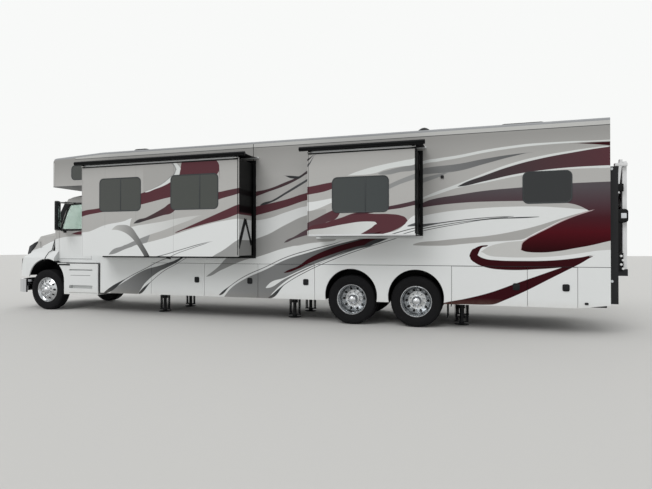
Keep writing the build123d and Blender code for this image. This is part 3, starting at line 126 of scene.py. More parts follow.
# Each sweep: tone at its front, tone at its rear, points of its upper edge, points of its lower edge. Points
# are (station, height) in metres, and where both edges meet, the sweep comes to a tip. Later ones cover
# earlier ones.
sweeps = {
    "field": ("haze", "haze",
        [(-1.3, 4.3), (12.8, 4.3)],
        [(-1.3, 1.15), (-0.9, 1.42), (-0.3, 1.6), (0, 1.73), (0.5, 1.84), (1.1, 1.85), (1.85, 1.87),
         (3, 1.58), (4, 1.76), (4.63, 1.9), (5, 2), (5.5, 1.9), (6, 1.8), (6.4, 1.7), (6.7, 1.6),
         (7, 1.65), (8, 1.78), (8.9, 1.86), (9.28, 2.15), (9.675, 2.238), (10.137, 2.285),
         (10.585, 2.312), (11.02, 2.32), (11.444, 2.31), (11.774, 2.284), (12.098, 2.249),
         (12.316, 2.227), (12.8, 2.2)]),
    "frontWhite": ("white", "white",
        [(1.8, 1.86), (2.1, 1.93), (2.5, 2.06), (3, 2.14), (3.22, 2.2)],
        [(1.8, 1.2), (2.6, 1.41), (2.8, 1.52), (3, 1.6), (3.1, 1.75), (3.22, 2.2)]),
    "frontThread": ("midGrey", "midGrey",
        [(2.6, 1.41), (3, 1.61), (3.25, 1.71), (3.5, 1.79), (3.7, 1.86)],
        [(2.6, 1.41), (3.1, 1.55), (3.4, 1.63), (3.6, 1.68), (3.7, 1.86)]),
    "whiteTongue": ("white", "white",
        [(3.1, 1.4), (3.2, 1.57), (3.5, 1.65), (4, 1.76), (4.5, 1.9), (5, 2.03), (5.5, 2.12), (6.1, 2.19),
         (6.5, 2.31), (6.98, 2.43), (7.3, 2.44), (7.73, 2.5), (8, 2.53)],
        [(3.1, 1.4), (3.3, 0.9), (4.63, 0.93), (4.9, 1.15), (5.1, 1.33), (5.45, 1.53), (5.75, 1.72),
         (6.1, 1.85), (6.5, 2.05), (6.98, 2.24), (7.3, 2.27), (7.73, 2.42), (8, 2.53)]),
    "tailOfGrey": ("midGrey", "field",
        [(4.6, 0.92), (4.9, 1.14), (5.1, 1.33), (5.45, 1.53), (5.75, 1.72), (6.1, 1.85), (6.5, 2.04),
         (6.98, 2.24), (7.3, 2.27), (7.6, 2.3)],
        [(4.6, 0.92), (5, 1.08), (5.5, 1.28), (5.9, 1.38), (6.5, 1.56), (7, 1.65), (7.3, 1.68),
         (7.6, 1.72)]),
    "midTongue": ("white", "fieldLight",
        [(3, 1.9), (3.08, 1.97), (3.3, 2.03), (3.6, 2.07), (4, 2.12), (4.3, 2.17), (4.97, 2.23)],
        [(3, 1.62), (3.25, 1.7), (3.45, 1.77), (3.7, 1.85), (4, 1.93), (4.3, 2.03), (4.6, 2.12),
         (4.97, 2.23)]),
    "crescent": ("fieldLight", "deepGrey",
        [(2.68, 1.955), (2.95, 2.06), (3.2, 2), (3.35, 1.83), (3.5, 1.62), (3.66, 1.38), (3.7, 1.3)],
        [(2.68, 1.955), (2.95, 1.92), (3.2, 1.78), (3.35, 1.62), (3.5, 1.42), (3.56, 1.33), (3.7, 1.3)]),
    "ribbonFront": ("burgundy", "burgundy",
        [(0.62, 1.9), (0.85, 1.965), (1.1, 1.99), (1.85, 2.37), (2.35, 2.44), (3, 2.58), (3.44, 2.73),
         (4, 2.885), (4.3, 3.02), (4.42, 3.2), (4.46, 3.4), (5.18, 3.4), (5.28, 3.33), (5.33, 3.24),
         (5.33, 3.13), (5.34, 2.9)],
        [(0.62, 1.9), (0.85, 1.885), (1.1, 1.9), (1.85, 2.25), (2.35, 2.34), (3, 2.41), (3.44, 2.49),
         (4, 2.6), (4.3, 2.66), (4.5, 2.75), (4.8, 2.85), (5.15, 2.95), (5.24, 3.03), (5.3, 3.09),
         (5.33, 3.13), (5.34, 2.9)]),
    "whiteHorn": ("pale", "pale",
        [(3.55, 2.775), (4.07, 3.41), (4.256, 3.377), (4.35, 3.31), (4.428, 3.21)],
        [(3.55, 2.75), (3.798, 2.812), (4.046, 2.888), (4.221, 2.972), (4.387, 3.085), (4.428, 3.21)]),
    "hornShade": ("midGrey", "midGrey",
        [(3.6, 2.8), (4.07, 3.4), (4.16, 3.38), (4.25, 3.33), (4.325, 3.2)],
        [(3.6, 2.79), (3.798, 2.842), (4.011, 2.935), (4.169, 3.04), (4.28, 3.11), (4.325, 3.2)]),
    "hornField": ("field", "field",
        [(3.5, 3.42), (4.05, 3.41), (4.15, 3.36), (4.25, 3.29), (4.297, 3.2)],
        [(3.5, 2.76), (3.798, 2.855), (4.011, 2.955), (4.169, 3.062), (4.26, 3.13), (4.297, 3.2)]),
    "darkDart": strip("deepGrey", "burgundy",
        (3.25, 3.6, 4, 4.2, 4.5),
        (2.085, 2.22, 2.4, 2.5, 2.5),
        (2.085, 2.15, 2.25, 2.29, 2.5)),
    "ribbonRear": strip("burgundy", "deepGrey",
        (5.2, 5.4, 5.75, 6.1, 6.5, 6.8, 7, 7.25, 7.4),
        (2.66, 2.71, 2.765, 2.82, 2.95, 3.06, 3.18, 3.28, 3.35),
        (2.52, 2.57, 2.65, 2.757, 2.88, 3.01, 3.12, 3.24, 3.35)),
    "darkTip": strip("deepGrey", "deepGrey",
        (6.45, 6.6, 6.8, 6.9),
        (3.085, 3.08, 3.06, 3.08),
        (3.085, 3.03, 3.01, 3.08)),
    "lowerLance": strip("burgundy", "burgundy",
        (4.28, 4.5, 5, 5.5, 5.75, 6.1, 6.5, 7, 7.3, 7.7, 8),
        (1.875, 1.96, 2.15, 2.34, 2.43, 2.5, 2.58, 2.71, 2.74, 2.8, 2.82),
        (1.875, 1.93, 2.05, 2.16, 2.24, 2.32, 2.42, 2.56, 2.59, 2.67, 2.82)),
    "risingLine": strip("deepGrey", "darkGrey",
        (5.9, 6.2, 6.5, 6.75, 7, 7.25, 7.42),
        (2.47, 2.58, 2.74, 2.875, 3.01, 3.18, 3.35),
        (2.47, 2.54, 2.69, 2.82, 2.96, 3.13, 3.35)),
    "hookArm": ("smoke", "burgundy",
        [(6.46, 1.67), (6.7, 1.8), (7, 1.96), (7.244, 2.047), (7.704, 2.258), (7.9, 2.33)],
        [(6.46, 1.67), (6.7, 1.75), (7, 1.83), (7.244, 1.874), (7.585, 2.032), (7.881, 2.22),
         (7.9, 2.33)]),
    "hookHead": ("burgundy", "burgundy",
        [(7.2, 1.9), (7.585, 2.034), (7.881, 2.122), (8.248, 2.218), (8.512, 2.19), (8.828, 2.179),
         (9.028, 2.147), (9.119, 2.1), (9.151, 2.045)],
        [(7.2, 1.86), (7.585, 1.93), (7.978, 1.95), (8.2, 1.78), (8.5, 1.76), (8.661, 1.805),
         (8.919, 1.885), (9.101, 1.992), (9.151, 2.045)]),
    "hookLens": ("fieldLight", "pale",
        [(7.2, 1.868), (7.585, 1.937), (7.978, 2.008), (8.362, 2.049), (8.55, 2.04), (8.587, 2)],
        [(7.2, 1.74), (7.6, 1.74), (8.15, 1.74), (8.248, 1.799), (8.475, 1.927), (8.587, 2)]),
    "upperPale": ("pale", "pale",
        [(8.03, 2.92), (8.362, 3.023), (8.736, 3.097), (9.101, 3.151), (9.28, 3.182), (9.32, 3.228),
         (9.67, 3.285), (10, 3.32), (10.5, 3.395), (11, 3.445), (11.4, 3.465), (11.9, 3.465),
         (12.3, 3.455), (12.8, 3.45)],
        [(8.03, 2.92), (8.267, 2.918), (8.55, 2.941), (8.772, 3.004), (9.01, 3.038), (9.28, 3.07),
         (9.32, 3.163), (9.67, 3.225), (10, 3.265), (10.5, 3.345), (11, 3.4), (11.4, 3.425),
         (11.9, 3.435), (12.3, 3.435), (12.8, 3.43)]),
    "smokeBlade": ("midGrey", "darkGrey",
        [(8.6, 2.925), (8.828, 2.992), (9.101, 3.039), (9.28, 3.061), (9.32, 3.093), (9.5, 3.12),
         (10, 3.155), (10.5, 3.23), (11, 3.285), (11.32, 3.3)],
        [(8.6, 2.925), (8.643, 2.909), (8.791, 2.902), (9.01, 2.938), (9.28, 2.962), (9.32, 2.982),
         (9.5, 2.99), (10, 3.02), (10.5, 3.135), (11, 3.25), (11.32, 3.3)]),
    "secondBlade": strip("midGrey", "midGrey",
        (8.4, 8.8, 9, 9.28, 9.6, 9.95),
        (2.6, 2.72, 2.8, 2.895, 2.97, 3.02),
        (2.54, 2.635, 2.715, 2.8, 2.9, 3.02)),
    "rearWedge": strip("wine", "wine",
        (11.93, 12.2, 12.5, 12.8),
        (3.428, 3.425, 3.42, 3.41),
        (3.428, 3.405, 3.365, 3.32)),
    "rearPale": strip("pale", "pale",
        (9.28, 9.5, 10, 10.5, 11, 11.5, 12, 12.3, 12.55),
        (2.5, 2.6, 2.775, 2.965, 3.13, 3.235, 3.3, 3.33, 3.345),
        (2.5, 2.55, 2.7, 2.78, 2.87, 2.94, 2.97, 2.968, 2.965)),
    "rearPaleEnd": strip("pale", "pale",
        (12.4, 12.6, 12.8),
        (3, 3, 2.99),
        (2.962, 2.962, 2.955)),
    "rearSweep": strip("deepGrey", "burgundy",
        (10, 10.5, 11, 11.5, 12, 12.5, 12.8),
        (2.725, 2.92, 3.08, 3.19, 3.265, 3.325, 3.34),
        (2.725, 2.81, 2.91, 2.97, 3, 3.005, 3)),
    "longBand": strip("dusk", "dusk",
        (8.1, 8.5, 8.8, 9, 9.3, 9.5, 10, 10.5, 11.15, 12, 12.8),
        (2.18, 2.26, 2.32, 2.355, 2.42, 2.49, 2.567, 2.63, 2.67, 2.715, 2.72),
        (2.18, 2.21, 2.257, 2.28, 2.335, 2.365, 2.41, 2.425, 2.42, 2.34, 1.9)),
    "upperShadowLine": strip("darkGrey", "darkGrey",
        (9.15, 9.7, 10.2, 10.6, 11),
        (1.965, 2.05, 2.105, 2.135, 2.145),
        (1.945, 2.03, 2.088, 2.122, 2.14)),
    "greyShelf": ("field", "field",
        [(9.17, 1.63), (9.675, 1.7), (10.137, 1.746), (10.585, 1.79), (11.149, 1.896), (11.444, 1.974),
         (11.774, 2.082), (12.098, 2.178), (12.304, 2.223)],
        [(9.17, 1.61), (9.675, 1.6), (10.137, 1.637), (10.585, 1.673), (11.063, 1.704), (11.149, 1.717),
         (11.36, 1.83), (11.569, 1.936), (11.774, 2.042), (12.098, 2.155), (12.304, 2.223)]),
    "greyUnder": strip("fieldLight", "fieldLight",
        (10.42, 10.55, 10.8, 11.1, 11.35, 11.8, 12.3, 12.8),
        (1.48, 1.575, 1.65, 1.685, 1.7, 1.6, 1.63, 1.72),
        (1.48, 1.42, 1.39, 1.383, 1.386, 1.42, 1.5, 1.6)),
    "blockRim": ("blush", "blush",
        [(11.113, 1.53), (11.128, 1.632), (11.212, 1.721), (11.36, 1.81), (11.569, 1.922),
         (11.774, 2.032), (12.017, 2.138), (12.257, 2.219), (12.336, 2.235)],
        [(11.113, 1.52), (11.212, 1.5), (11.569, 1.5), (11.733, 1.52), (12.017, 1.58), (12.336, 2.235)]),
    "rearBlock": ("dusk", "dusk",
        [(11.127, 1.529), (11.14, 1.621), (11.212, 1.703), (11.36, 1.793), (11.569, 1.905),
         (11.774, 2.015), (12.017, 2.122), (12.257, 2.206), (12.336, 2.235), (12.41, 2.5), (12.8, 2.5)],
        [(11.127, 1.52), (11.212, 1.488), (11.444, 1.475), (11.733, 1.499), (12.017, 1.553),
         (12.257, 1.601), (12.581, 1.684), (12.8, 1.73)]),
    "wineHook": ("wine", "wine",
        [(10.215, 1.4), (10.25, 1.5), (10.32, 1.555), (10.42, 1.6), (10.55, 1.61)],
        [(10.215, 1.4), (10.25, 1.33), (10.33, 1.36), (10.42, 1.545), (10.55, 1.605)]),
    "wineSmile": ("wine", "wine",
        [(10.24, 1.42), (10.33, 1.46), (10.38, 1.41), (10.5, 1.355), (10.7, 1.33), (11, 1.32),
         (11.4, 1.322), (11.8, 1.347), (12.1, 1.39), (12.33, 1.432)],
        [(10.24, 1.35), (10.33, 1.27), (10.45, 1.215), (10.6, 1.175), (10.8, 1.155), (11, 1.15),
         (11.4, 1.172), (11.83, 1.212), (12, 1.24), (12.33, 1.432)]),
    "wineLance": ("wine", "wine",
        [(9.7, 0.49), (9.769, 0.513), (10.137, 0.596), (10.585, 0.726), (11.02, 0.899), (11.444, 1.067),
         (11.856, 1.23), (12.296, 1.412)],
        [(9.7, 0.44), (9.954, 0.481), (10.629, 0.504), (10.848, 0.595), (11.234, 0.789), (11.569, 0.979),
         (11.856, 1.141), (12.098, 1.278), (12.296, 1.403)]),
    "noseEdge": bar("fieldLight", 0.309, 0.345, 3.06, 3.66),
    "noseLine": bar("darkGrey", 0.345, 0.353, 3.06, 3.68),
    # The dark bar along the foot of the over-cab's nose is a painted shadow
    "noseFootShadow": bar("darkGrey", 0.3, 1.76, 3.06, 3.078),
    "stepLine": bar("darkGrey", 0.76, 1.36, 0.876, 0.886),
    "stepFoot": bar("darkGrey", 0.72, 1.56, 0.454, 0.462),
    "beltLine": bar("line", 7.14, 12.58, 1.211, 1.221),
    "roofLine": bar("line", 1, 12.8, 3.715, 3.727),
    "roofBand": bar("fieldLight", 1, 12.8, 3.727, 4.3),
    "frontSeam": bar("midGrey", 2.498, 2.502, 2, 3.36),
    "rearSeam": bar("midGrey", 3.308, 3.312, 2.1, 3.36),
    "swooshFront": ("midGrey", "deepGrey",
        [(1.95, 0.42), (2.1, 0.56), (2.5, 0.8), (3, 1.05), (3.35, 1.14), (3.7, 1.24), (4.15, 1.375)],
        [(1.95, 0.42), (2.74, 0.44), (3, 0.74), (3.37, 1.01), (3.57, 1.1), (3.83, 1.22), (4.15, 1.375)]),
    "pinFrontUpper": strip("line", "line",
        (1.84, 2.5, 3, 3.5, 4.05, 4.5, 5, 5.18),
        (0.49, 0.855, 1.085, 1.3, 1.425, 1.545, 1.665, 1.69),
        (0.475, 0.84, 1.07, 1.287, 1.412, 1.532, 1.655, 1.69)),
    "pinFrontLower": strip("line", "line",
        (2.82, 3.17, 3.5, 3.8, 4.25, 4.6, 5, 5.15),
        (0.5, 0.79, 1.03, 1.18, 1.41, 1.53, 1.645, 1.68),
        (0.485, 0.777, 1.017, 1.168, 1.4, 1.52, 1.637, 1.68)),
    "swooshRear": ("midGrey", "deepGrey",
        [(5, 0.44), (5.2, 0.66), (5.5, 0.86), (6.05, 1.1), (6.5, 1.31), (7, 1.46), (7.5, 1.6), (8, 1.72),
         (8.6, 1.84)],
        [(5, 0.44), (6.05, 0.44), (6.2, 0.6), (6.5, 0.86), (7, 1.12), (7.5, 1.34), (8, 1.52), (8.4, 1.64),
         (8.6, 1.84)]),
    "swooshCore": strip("wine", "wine",
        (6.45, 6.8, 7, 7.5, 8, 8.5, 8.7),
        (1.03, 1.19, 1.33, 1.55, 1.69, 1.82, 1.86),
        (1.03, 1.13, 1.23, 1.42, 1.575, 1.7, 1.86)),
    "swooshGlint": strip("white", "white",
        (6.05, 6.5, 7, 7.5, 7.9),
        (0.72, 0.94, 1.165, 1.355, 1.48),
        (0.7, 0.915, 1.145, 1.34, 1.48)),
    "pinRearUpper": strip("line", "line",
        (4.93, 5.2, 5.5, 6.05, 6.5, 7, 7.5, 7.85),
        (0.53, 0.735, 0.925, 1.165, 1.365, 1.515, 1.635, 1.715),
        (0.515, 0.72, 0.91, 1.15, 1.35, 1.5, 1.622, 1.715)),
    "pinLong": strip("line", "line",
        (6.1, 6.5, 7, 7.5, 8, 8.5, 9.1, 9.4, 10, 10.5, 11.42),
        (0.495, 0.81, 1.09, 1.31, 1.492, 1.652, 1.828, 1.905, 2.015, 2.092, 2.128),
        (0.48, 0.795, 1.075, 1.296, 1.48, 1.64, 1.815, 1.893, 2.004, 2.082, 2.12)),
    "pinLongSecond": strip("line", "line",
        (8.2, 8.8, 9.3, 9.7, 10.2, 10.9),
        (1.62, 1.8, 1.93, 2, 2.07, 2.125),
        (1.61, 1.785, 1.915, 1.986, 2.058, 2.12)),
}
# The slide rooms' end walls, darkened by painted shade, and black along their rubber seals: (station, reach
# to either side of it, height that it starts at, strength, middle and half of the band across)
slideEndShadeAndSeals = [
    (5.75, 0.006, 1.35, 0.14, 1.7, 0.4), (5.75, 0.006, 2.30, 0.97, 1.7, 0.4),
    (5.75, 0.006, 1.35, 1.0, 1.30, 0.07), (9.325, 0.036, 1.75, 1.0, 1.7, 0.4),
    (1.89, 0.006, 1.35, 0.2, 1.7, 0.4), (7.25, 0.006, 1.75, 0.6, 1.7, 0.4),
    (4.25, 0.006, 1.35, 0.2, 1.7, 0.4), (6.90, 0.006, 1.35, 0.2, 1.7, 0.4),
]


def sweepEdge(tree, source, points, first, last):  # a smooth line through the given points
    node = addNode(tree, "FloatCurve", inputs={"Value": source})
    curve = node.mapping.curves[0]
    node.mapping.extend = "HORIZONTAL"
    while len(curve.points) < len(points):
        curve.points.new(0.5, 0.5)
    for spot, (station, height) in zip(curve.points, points):
        spot.location = ((station - first) / (last - first), height / curveTop)
        spot.handle_type = "AUTO_CLAMPED"
    node.mapping.update()
    return node.outputs[0]


def changingTone(tree, source, stops):  # colours set at places from 0 to 1, blended between them
    ramp = addNode(tree, "ValToRGB", inputs={"Fac": source})
    bands = ramp.color_ramp.elements
    while len(bands) < len(stops):
        bands.new(0.5)
    for band, (spot, tone) in zip(bands, stops):
        band.position = spot
        band.color = hexColor(tone)
    return ramp.outputs["Color"]


# Past each end the lower edge passes over the upper one, so nothing is painted there.
def closeEnds(top, foot):
    step = (top[-1][0] - top[0][0]) / 200
    past = [(top[0][0] - step, foot[0]), (top[-1][0] + step, foot[-1])]
    front, rear = [(station, (t[1] + f[1]) / 2) for (station, f), t in zip(past, (top[0], top[-1]))]
    top = [(front[0], front[1] - paint["tip"]), *top, (rear[0], rear[1] - paint["tip"])]
    return top, [front, *foot, rear]


def paintSweeps(tree, place):  # the colour of the painted sides, and the height over curveTop
    split = addNode(tree, "SeparateXYZ", inputs={"Vector": place}).outputs
    station = addNode(tree, "Math", {"operation": "SUBTRACT"}, {0: frontAxleX, 1: split["X"]}).outputs[0]
    height = addNode(tree, "Math", {"operation": "DIVIDE"}, {0: split["Z"], 1: curveTop}).outputs[0]
    shown = addNode(tree, "RGB").outputs[0]
    shown.default_value = hexColor(paintTones["white"])
    rising = {name: changingTone(tree, height, [(z / curveTop, tone) for z, tone in stops])
              for name, stops in risingTones.items()}
    edge = paint["edge"] / curveTop
    for front, rear, top, foot in sweeps.values():
        top, foot = closeEnds(top, foot)
        first, last = top[0][0], top[-1][0]
        share = addNode(tree, "MapRange", {"clamp": True}, {0: station, 1: first, 2: last}).outputs[0]
        upper = sweepEdge(tree, share, top, first, last)
        lower = sweepEdge(tree, share, foot, first, last)
        below = addNode(tree, "Math", {"operation": "SUBTRACT"}, {0: upper, 1: height}).outputs[0]
        above = addNode(tree, "Math", {"operation": "SUBTRACT"}, {0: height, 1: lower}).outputs[0]
        least = addNode(tree, "Math", {"operation": "MINIMUM"}, {0: below, 1: above}).outputs[0]
        mask = addNode(tree, "MapRange", {"clamp": True}, {0: least, 1: -edge, 2: edge}).outputs[0]
        if front in rising:
            tone = rising[front]
        else:
            ends = {0: share, 6: hexColor(paintTones[front]), 7: hexColor(paintTones[rear])}
            tone = addNode(tree, "Mix", {"data_type": "RGBA"}, ends).outputs[2]
        shown = addNode(tree, "Mix", {"data_type": "RGBA"}, {0: mask, 6: shown, 7: tone}).outputs[2]
    blackSealAndShade = hexColor(paintTones["blackSealAndShade"])
    outside = addNode(tree, "Math", {"operation": "ABSOLUTE"}, {0: split["Y"]}).outputs[0]
    # Painted shade on the slide rooms' end walls, and the black of their rubber seals
    for end, reach, foot, strength, middle, half in slideEndShadeAndSeals:
        near = addNode(tree, "Math", {"operation": "COMPARE"}, {0: station, 1: end, 2: reach}).outputs[0]
        band = addNode(tree, "Math", {"operation": "COMPARE"}, {0: outside, 1: middle, 2: half}).outputs[0]
        fade = {0: height, 1: foot / curveTop - 0.01, 2: foot / curveTop, 4: strength}
        over = addNode(tree, "MapRange", {"clamp": True}, fade).outputs[0]
        both = addNode(tree, "Math", {"operation": "MULTIPLY"}, {0: near, 1: band}).outputs[0]
        mask = addNode(tree, "Math", {"operation": "MULTIPLY"}, {0: both, 1: over}).outputs[0]
        shown = addNode(tree, "Mix", {"data_type": "RGBA"}, {0: mask, 6: shown, 7: blackSealAndShade}).outputs[2]
    # What stands out over the slide rooms' heads is black too
    out = addNode(tree, "Math", {"operation": "GREATER_THAN"}, {0: outside, 1: paint["coverOut"]}).outputs[0]
    over = addNode(tree, "Math", {"operation": "GREATER_THAN"}, {0: height, 1: paint["coverOver"] / curveTop})
    mask = addNode(tree, "Math", {"operation": "MULTIPLY"}, {0: out, 1: over.outputs[0]}).outputs[0]
    shown = addNode(tree, "Mix", {"data_type": "RGBA"}, {0: mask, 6: shown, 7: blackSealAndShade}).outputs[2]
    return shown, height


def makeSidePaint():
    material, tree, shader, place = startMaterial(
        "acrylicPaintOnFibreglass", Roughness=paint["roughness"], Specular_IOR_Level=paint["sheen"])
    shown, height = paintSweeps(tree, place)
    fade = {0: height, 1: paint["dustFrom"] / curveTop, 2: paint["dustFull"] / curveTop}
    dust = addNode(tree, "MapRange", {"clamp": True}, {**fade, 3: 0.0, 4: paint["dustShare"]}).outputs[0]
    cloud = addNode(tree, "TexNoise", inputs={"Scale": 9.0, "Detail": 5.0, "Vector": place}).outputs["Fac"]
    dusty = addNode(tree, "Math", {"operation": "MULTIPLY"}, {0: dust, 1: cloud}).outputs[0]
    final = addNode(tree, "Mix", {"data_type": "RGBA"}, {0: dusty, 6: shown, 7: hexColor(paint["dust"])})
    tree.links.new(final.outputs[2], shader.inputs["Base Color"])
    grainBump(tree, shader, place, 6, 0.02)  # the sprayed coat's orange peel, coarser than its real 2 mm
    return material


def coverNode(name, material):
    mesh = nodes[name].data
    mesh.materials.clear()
    mesh.materials.append(material)


sidePaint = makeSidePaint()
paintedNodes = [
    "wall_left", "wall_right", "skirts", "house_front", "rear_cap", "cab_shell", "cab_door_left",
    "cab_door_right", "hood", "slide_long", "slide_short", "slide_right", "entry_door", "step_fairings",
    *[n for n in nodes if n.startswith("bay_door_")],
]
for name in paintedNodes:
    coverNode(name, sidePaint)
print("body paint done:", len(sweeps), "sweeps")


# Tinted safety glass, float made and curved by heat: smooth, with sharp reflections. It is smoked in the
# house's windows, more so towards the rear, and nearly clear and greenish in the cab's.
glass = {
    "cabEnd": 1.25, "cabTop": 2.95, "cab": "#E2F0E9", "clearness": 0.85, "length": 13,
    "smoke": [(0.2, "#3A3D3A"), (0.4, "#3A3E3A"), (0.66, "#2F3536"), (0.86, "#15191B")],
}


def makeGlass():
    material, tree, shader, place = startMaterial("tintedSafetyGlass", Roughness=0.06, Specular_IOR_Level=0.5)
    split = addNode(tree, "SeparateXYZ", inputs={"Vector": place}).outputs
    cabEnd = frontAxleX - glass["cabEnd"]
    front = addNode(tree, "Math", {"operation": "GREATER_THAN"}, {0: split["X"], 1: cabEnd}).outputs[0]
    under = addNode(tree, "Math", {"operation": "LESS_THAN"}, {0: split["Z"], 1: glass["cabTop"]}).outputs[0]
    cab = addNode(tree, "Math", {"operation": "MULTIPLY"}, {0: front, 1: under}).outputs[0]
    reach = {0: split["X"], 1: frontAxleX, 2: frontAxleX - glass["length"]}
    back = addNode(tree, "MapRange", {"clamp": True}, reach).outputs[0]
    smoke = changingTone(tree, back, glass["smoke"])
    tone = addNode(tree, "Mix", {"data_type": "RGBA"}, {0: cab, 6: smoke, 7: hexColor(glass["cab"])})
    clear = addNode(tree, "Math", {"operation": "MULTIPLY"}, {0: cab, 1: glass["clearness"]}).outputs[0]
    tree.links.new(tone.outputs[2], shader.inputs["Base Color"])
    tree.links.new(clear, shader.inputs["Transmission Weight"])
    grainBump(tree, shader, place, 400, 0.02)  # the slow waves left by the heat
    return material


# Extruded rubber: dull and black, with fine die lines blurred to a grain. The wiper strip at the foot of the
# short slide's opening is body coloured.
wiperStrip = {"level": 1.745, "half": 0.045, "from": 7.1, "colour": "#C6C8C8"}


def makeSealRubber():
    material, tree, shader, place = startMaterial("extrudedRubber", Roughness=0.75, Specular_IOR_Level=0.15)
    noise = grainBump(tree, shader, place, 3, 0.05)
    split = addNode(tree, "SeparateXYZ", inputs={"Vector": place}).outputs
    level = {0: split["Z"], 1: wiperStrip["level"], 2: wiperStrip["half"]}
    low = addNode(tree, "Math", {"operation": "COMPARE"}, level).outputs[0]
    stripFrom = frontAxleX - wiperStrip["from"]
    back = addNode(tree, "Math", {"operation": "LESS_THAN"}, {0: split["X"], 1: stripFrom}).outputs[0]
    pale = addNode(tree, "Math", {"operation": "MULTIPLY"}, {0: low, 1: back}).outputs[0]
    worn = {0: noise.outputs["Fac"], 6: hexColor("#101112"), 7: hexColor("#18191A")}
    black = addNode(tree, "Mix", {"data_type": "RGBA"}, worn).outputs[2]
    tone = addNode(tree, "Mix", {"data_type": "RGBA"}, {0: pale, 6: black, 7: hexColor(wiperStrip["colour"])})
    tree.links.new(tone.outputs[2], shader.inputs["Base Color"])
    return material


# Forged aluminium, polished on the wheel: bright and mirror-like, clouded grey to near white as painted
# reflections, and near black and dull inside its hand holes as painted shade, by the attribute the rim's
# shape carries.
def makePolishedRim():
    material, tree, shader, place = startMaterial("polishedForgedAluminium", Roughness=0.16)
    paintedReflectionNoise = addNode(tree, "TexNoise", inputs={"Scale": 26.0, "Detail": 4.0, "Vector": place}).outputs["Fac"]
    paintedReflectionTones = {0: paintedReflectionNoise, 6: hexColor("#8E9295"), 7: hexColor("#F0F1F2")}
    tone = addNode(tree, "Mix", {"data_type": "RGBA"}, paintedReflectionTones).outputs[2]
    hole = addNode(tree, "Attribute", {"attribute_name": "holeShade"}).outputs["Fac"]
    final = addNode(tree, "Mix", {"data_type": "RGBA"}, {0: hole, 6: tone, 7: hexColor("#0C0C0D")}).outputs[2]
    metal = addNode(tree, "Math", {"operation": "SUBTRACT"}, {0: 1.0, 1: hole}).outputs[0]
    tree.links.new(final, shader.inputs["Base Color"])
    tree.links.new(metal, shader.inputs["Metallic"])
    grainBump(tree, shader, place, 30, 0.3)
    return material


# The other finishes are one colour, darker in broad clouds, over a grain of sizeMm and of a height in
# millimetres. A real grain below about 2 mm is too fine to show, so it is drawn as coarse as given here.
def makeFinish(name, colour, sizeMm, height, rough, sheen=0.5, **values):
    material, tree, shader, place = startMaterial(name, Roughness=rough, Specular_IOR_Level=sheen, **values)
    grainBump(tree, shader, place, sizeMm, height)
    broad = addNode(tree, "TexNoise", inputs={"Scale": 3.0, "Detail": 4.0, "Vector": place}).outputs["Fac"]
    deep = tuple(c * 0.82 for c in hexColor(colour)[:3]) + (1.0,)
    tone = addNode(tree, "Mix", {"data_type": "RGBA"}, {0: broad, 6: deep, 7: hexColor(colour)}).outputs[2]
    tree.links.new(tone, shader.inputs["Base Color"])
    return material


darkGlass, sealRubber, polishedRim = makeGlass(), makeSealRubber(), makePolishedRim()
# Chassis enamel sprayed on welded steel: black, with a dull and slightly mottled sheen
blackEnamel = makeFinish("blackChassisEnamel", "#1D1E20", 8, 0.05, 0.5, 0.25)
# Chrome plated on pressed steel: a clean, bright mirror
chromePlate = makeFinish("chromePlating", "#DDDFE2", 60, 0.01, 0.07, Metallic=1.0)
# Roof membrane rolled out and glued down: flat grey, with a slow ripple
roofSheet = makeFinish("greyRoofSheet", "#9B9DA0", 20, 0.1, 0.55)
# Moulded plastic with a spark-eroded grain: black, and grey only along its lit edges
darkPlastic = makeFinish("mouldedBlackPlastic", "#1B1C1E", 2, 0.06, 0.6, 0.2)
# Lamp lenses moulded in polycarbonate and acrylic: glossy, in smoke, deep red and amber
lampLens = makeFinish("smokedLampLens", "#17181B", 30, 0.02, 0.08, 0.3)
redLens = makeFinish("redLampLens", "#6E0E12", 12, 0.03, 0.12)
amberLens = makeFinish("amberLampLens", "#B0641A", 12, 0.03, 0.12)
# A clear moulded cover over a silvered bowl: pale, wet looking and bright
clearLamp = makeFinish("clearLampCover", "#D5D9DC", 50, 0.02, 0.08, Coat_Weight=0.6)
# Vacuum-formed shrouds, black and pale: soft highlights on round edges and a faint mottle
shroudBlack = makeFinish("blackShroudPlastic", "#17181A", 5, 0.05, 0.5, 0.25)
shroudPale = makeFinish("paleShroudPlastic", "#C4C5C4", 5, 0.05, 0.5, 0.3)
# Powder baked on steel, white and black: even, and satin rather than glossy
whitePowder = makeFinish("whitePowderCoat", "#DEDFE0", 3, 0.04, 0.45)
blackPowder = makeFinish("blackPowderCoat", "#101112", 3, 0.04, 0.5, 0.15)
# Cab trim moulded with a leather grain: dark grey and dull
trimGrey = makeFinish("grainedCabTrim", "#3A3A3D", 2, 0.08, 0.7)
# Tyre rubber cured in a steel mould: nearly black, dull and a little dusty
tyreRubber = makeFinish("roadTyreRubber", "#0E0E10", 4, 0.15, 0.8, 0.2)
# Aluminium extrusions, anodised dark or painted white: straight, even and satin
blackExtrusion = makeFinish("darkAnodisedExtrusion", "#34383A", 6, 0.02, 0.45, 0.3)
paleExtrusion = makeFinish("paintedWhiteExtrusion", "#D2D4D5", 8, 0.02, 0.4)
# Silver-grey paint sprayed on the drip strips: a shade under the white, so that they read as separate
trimPaint = makeFinish("silverGreyTrimPaint", "#B9BBBC", 8, 0.02, 0.35)
# Vinyl coated on woven polyester: black and dull, its real threads of 0.5 mm drawn at 2.5 mm
topperVinyl = makeFinish("blackCoatedVinylCloth", "#1A1B1D", 2.5, 0.1, 0.7, 0.2)
# Silvered glass behind a dark tint: a clear, dim mirror
mirrorGlass = makeFinish("darkMirrorGlass", "#4A4F52", 300, 0.01, 0.05, Metallic=1.0)

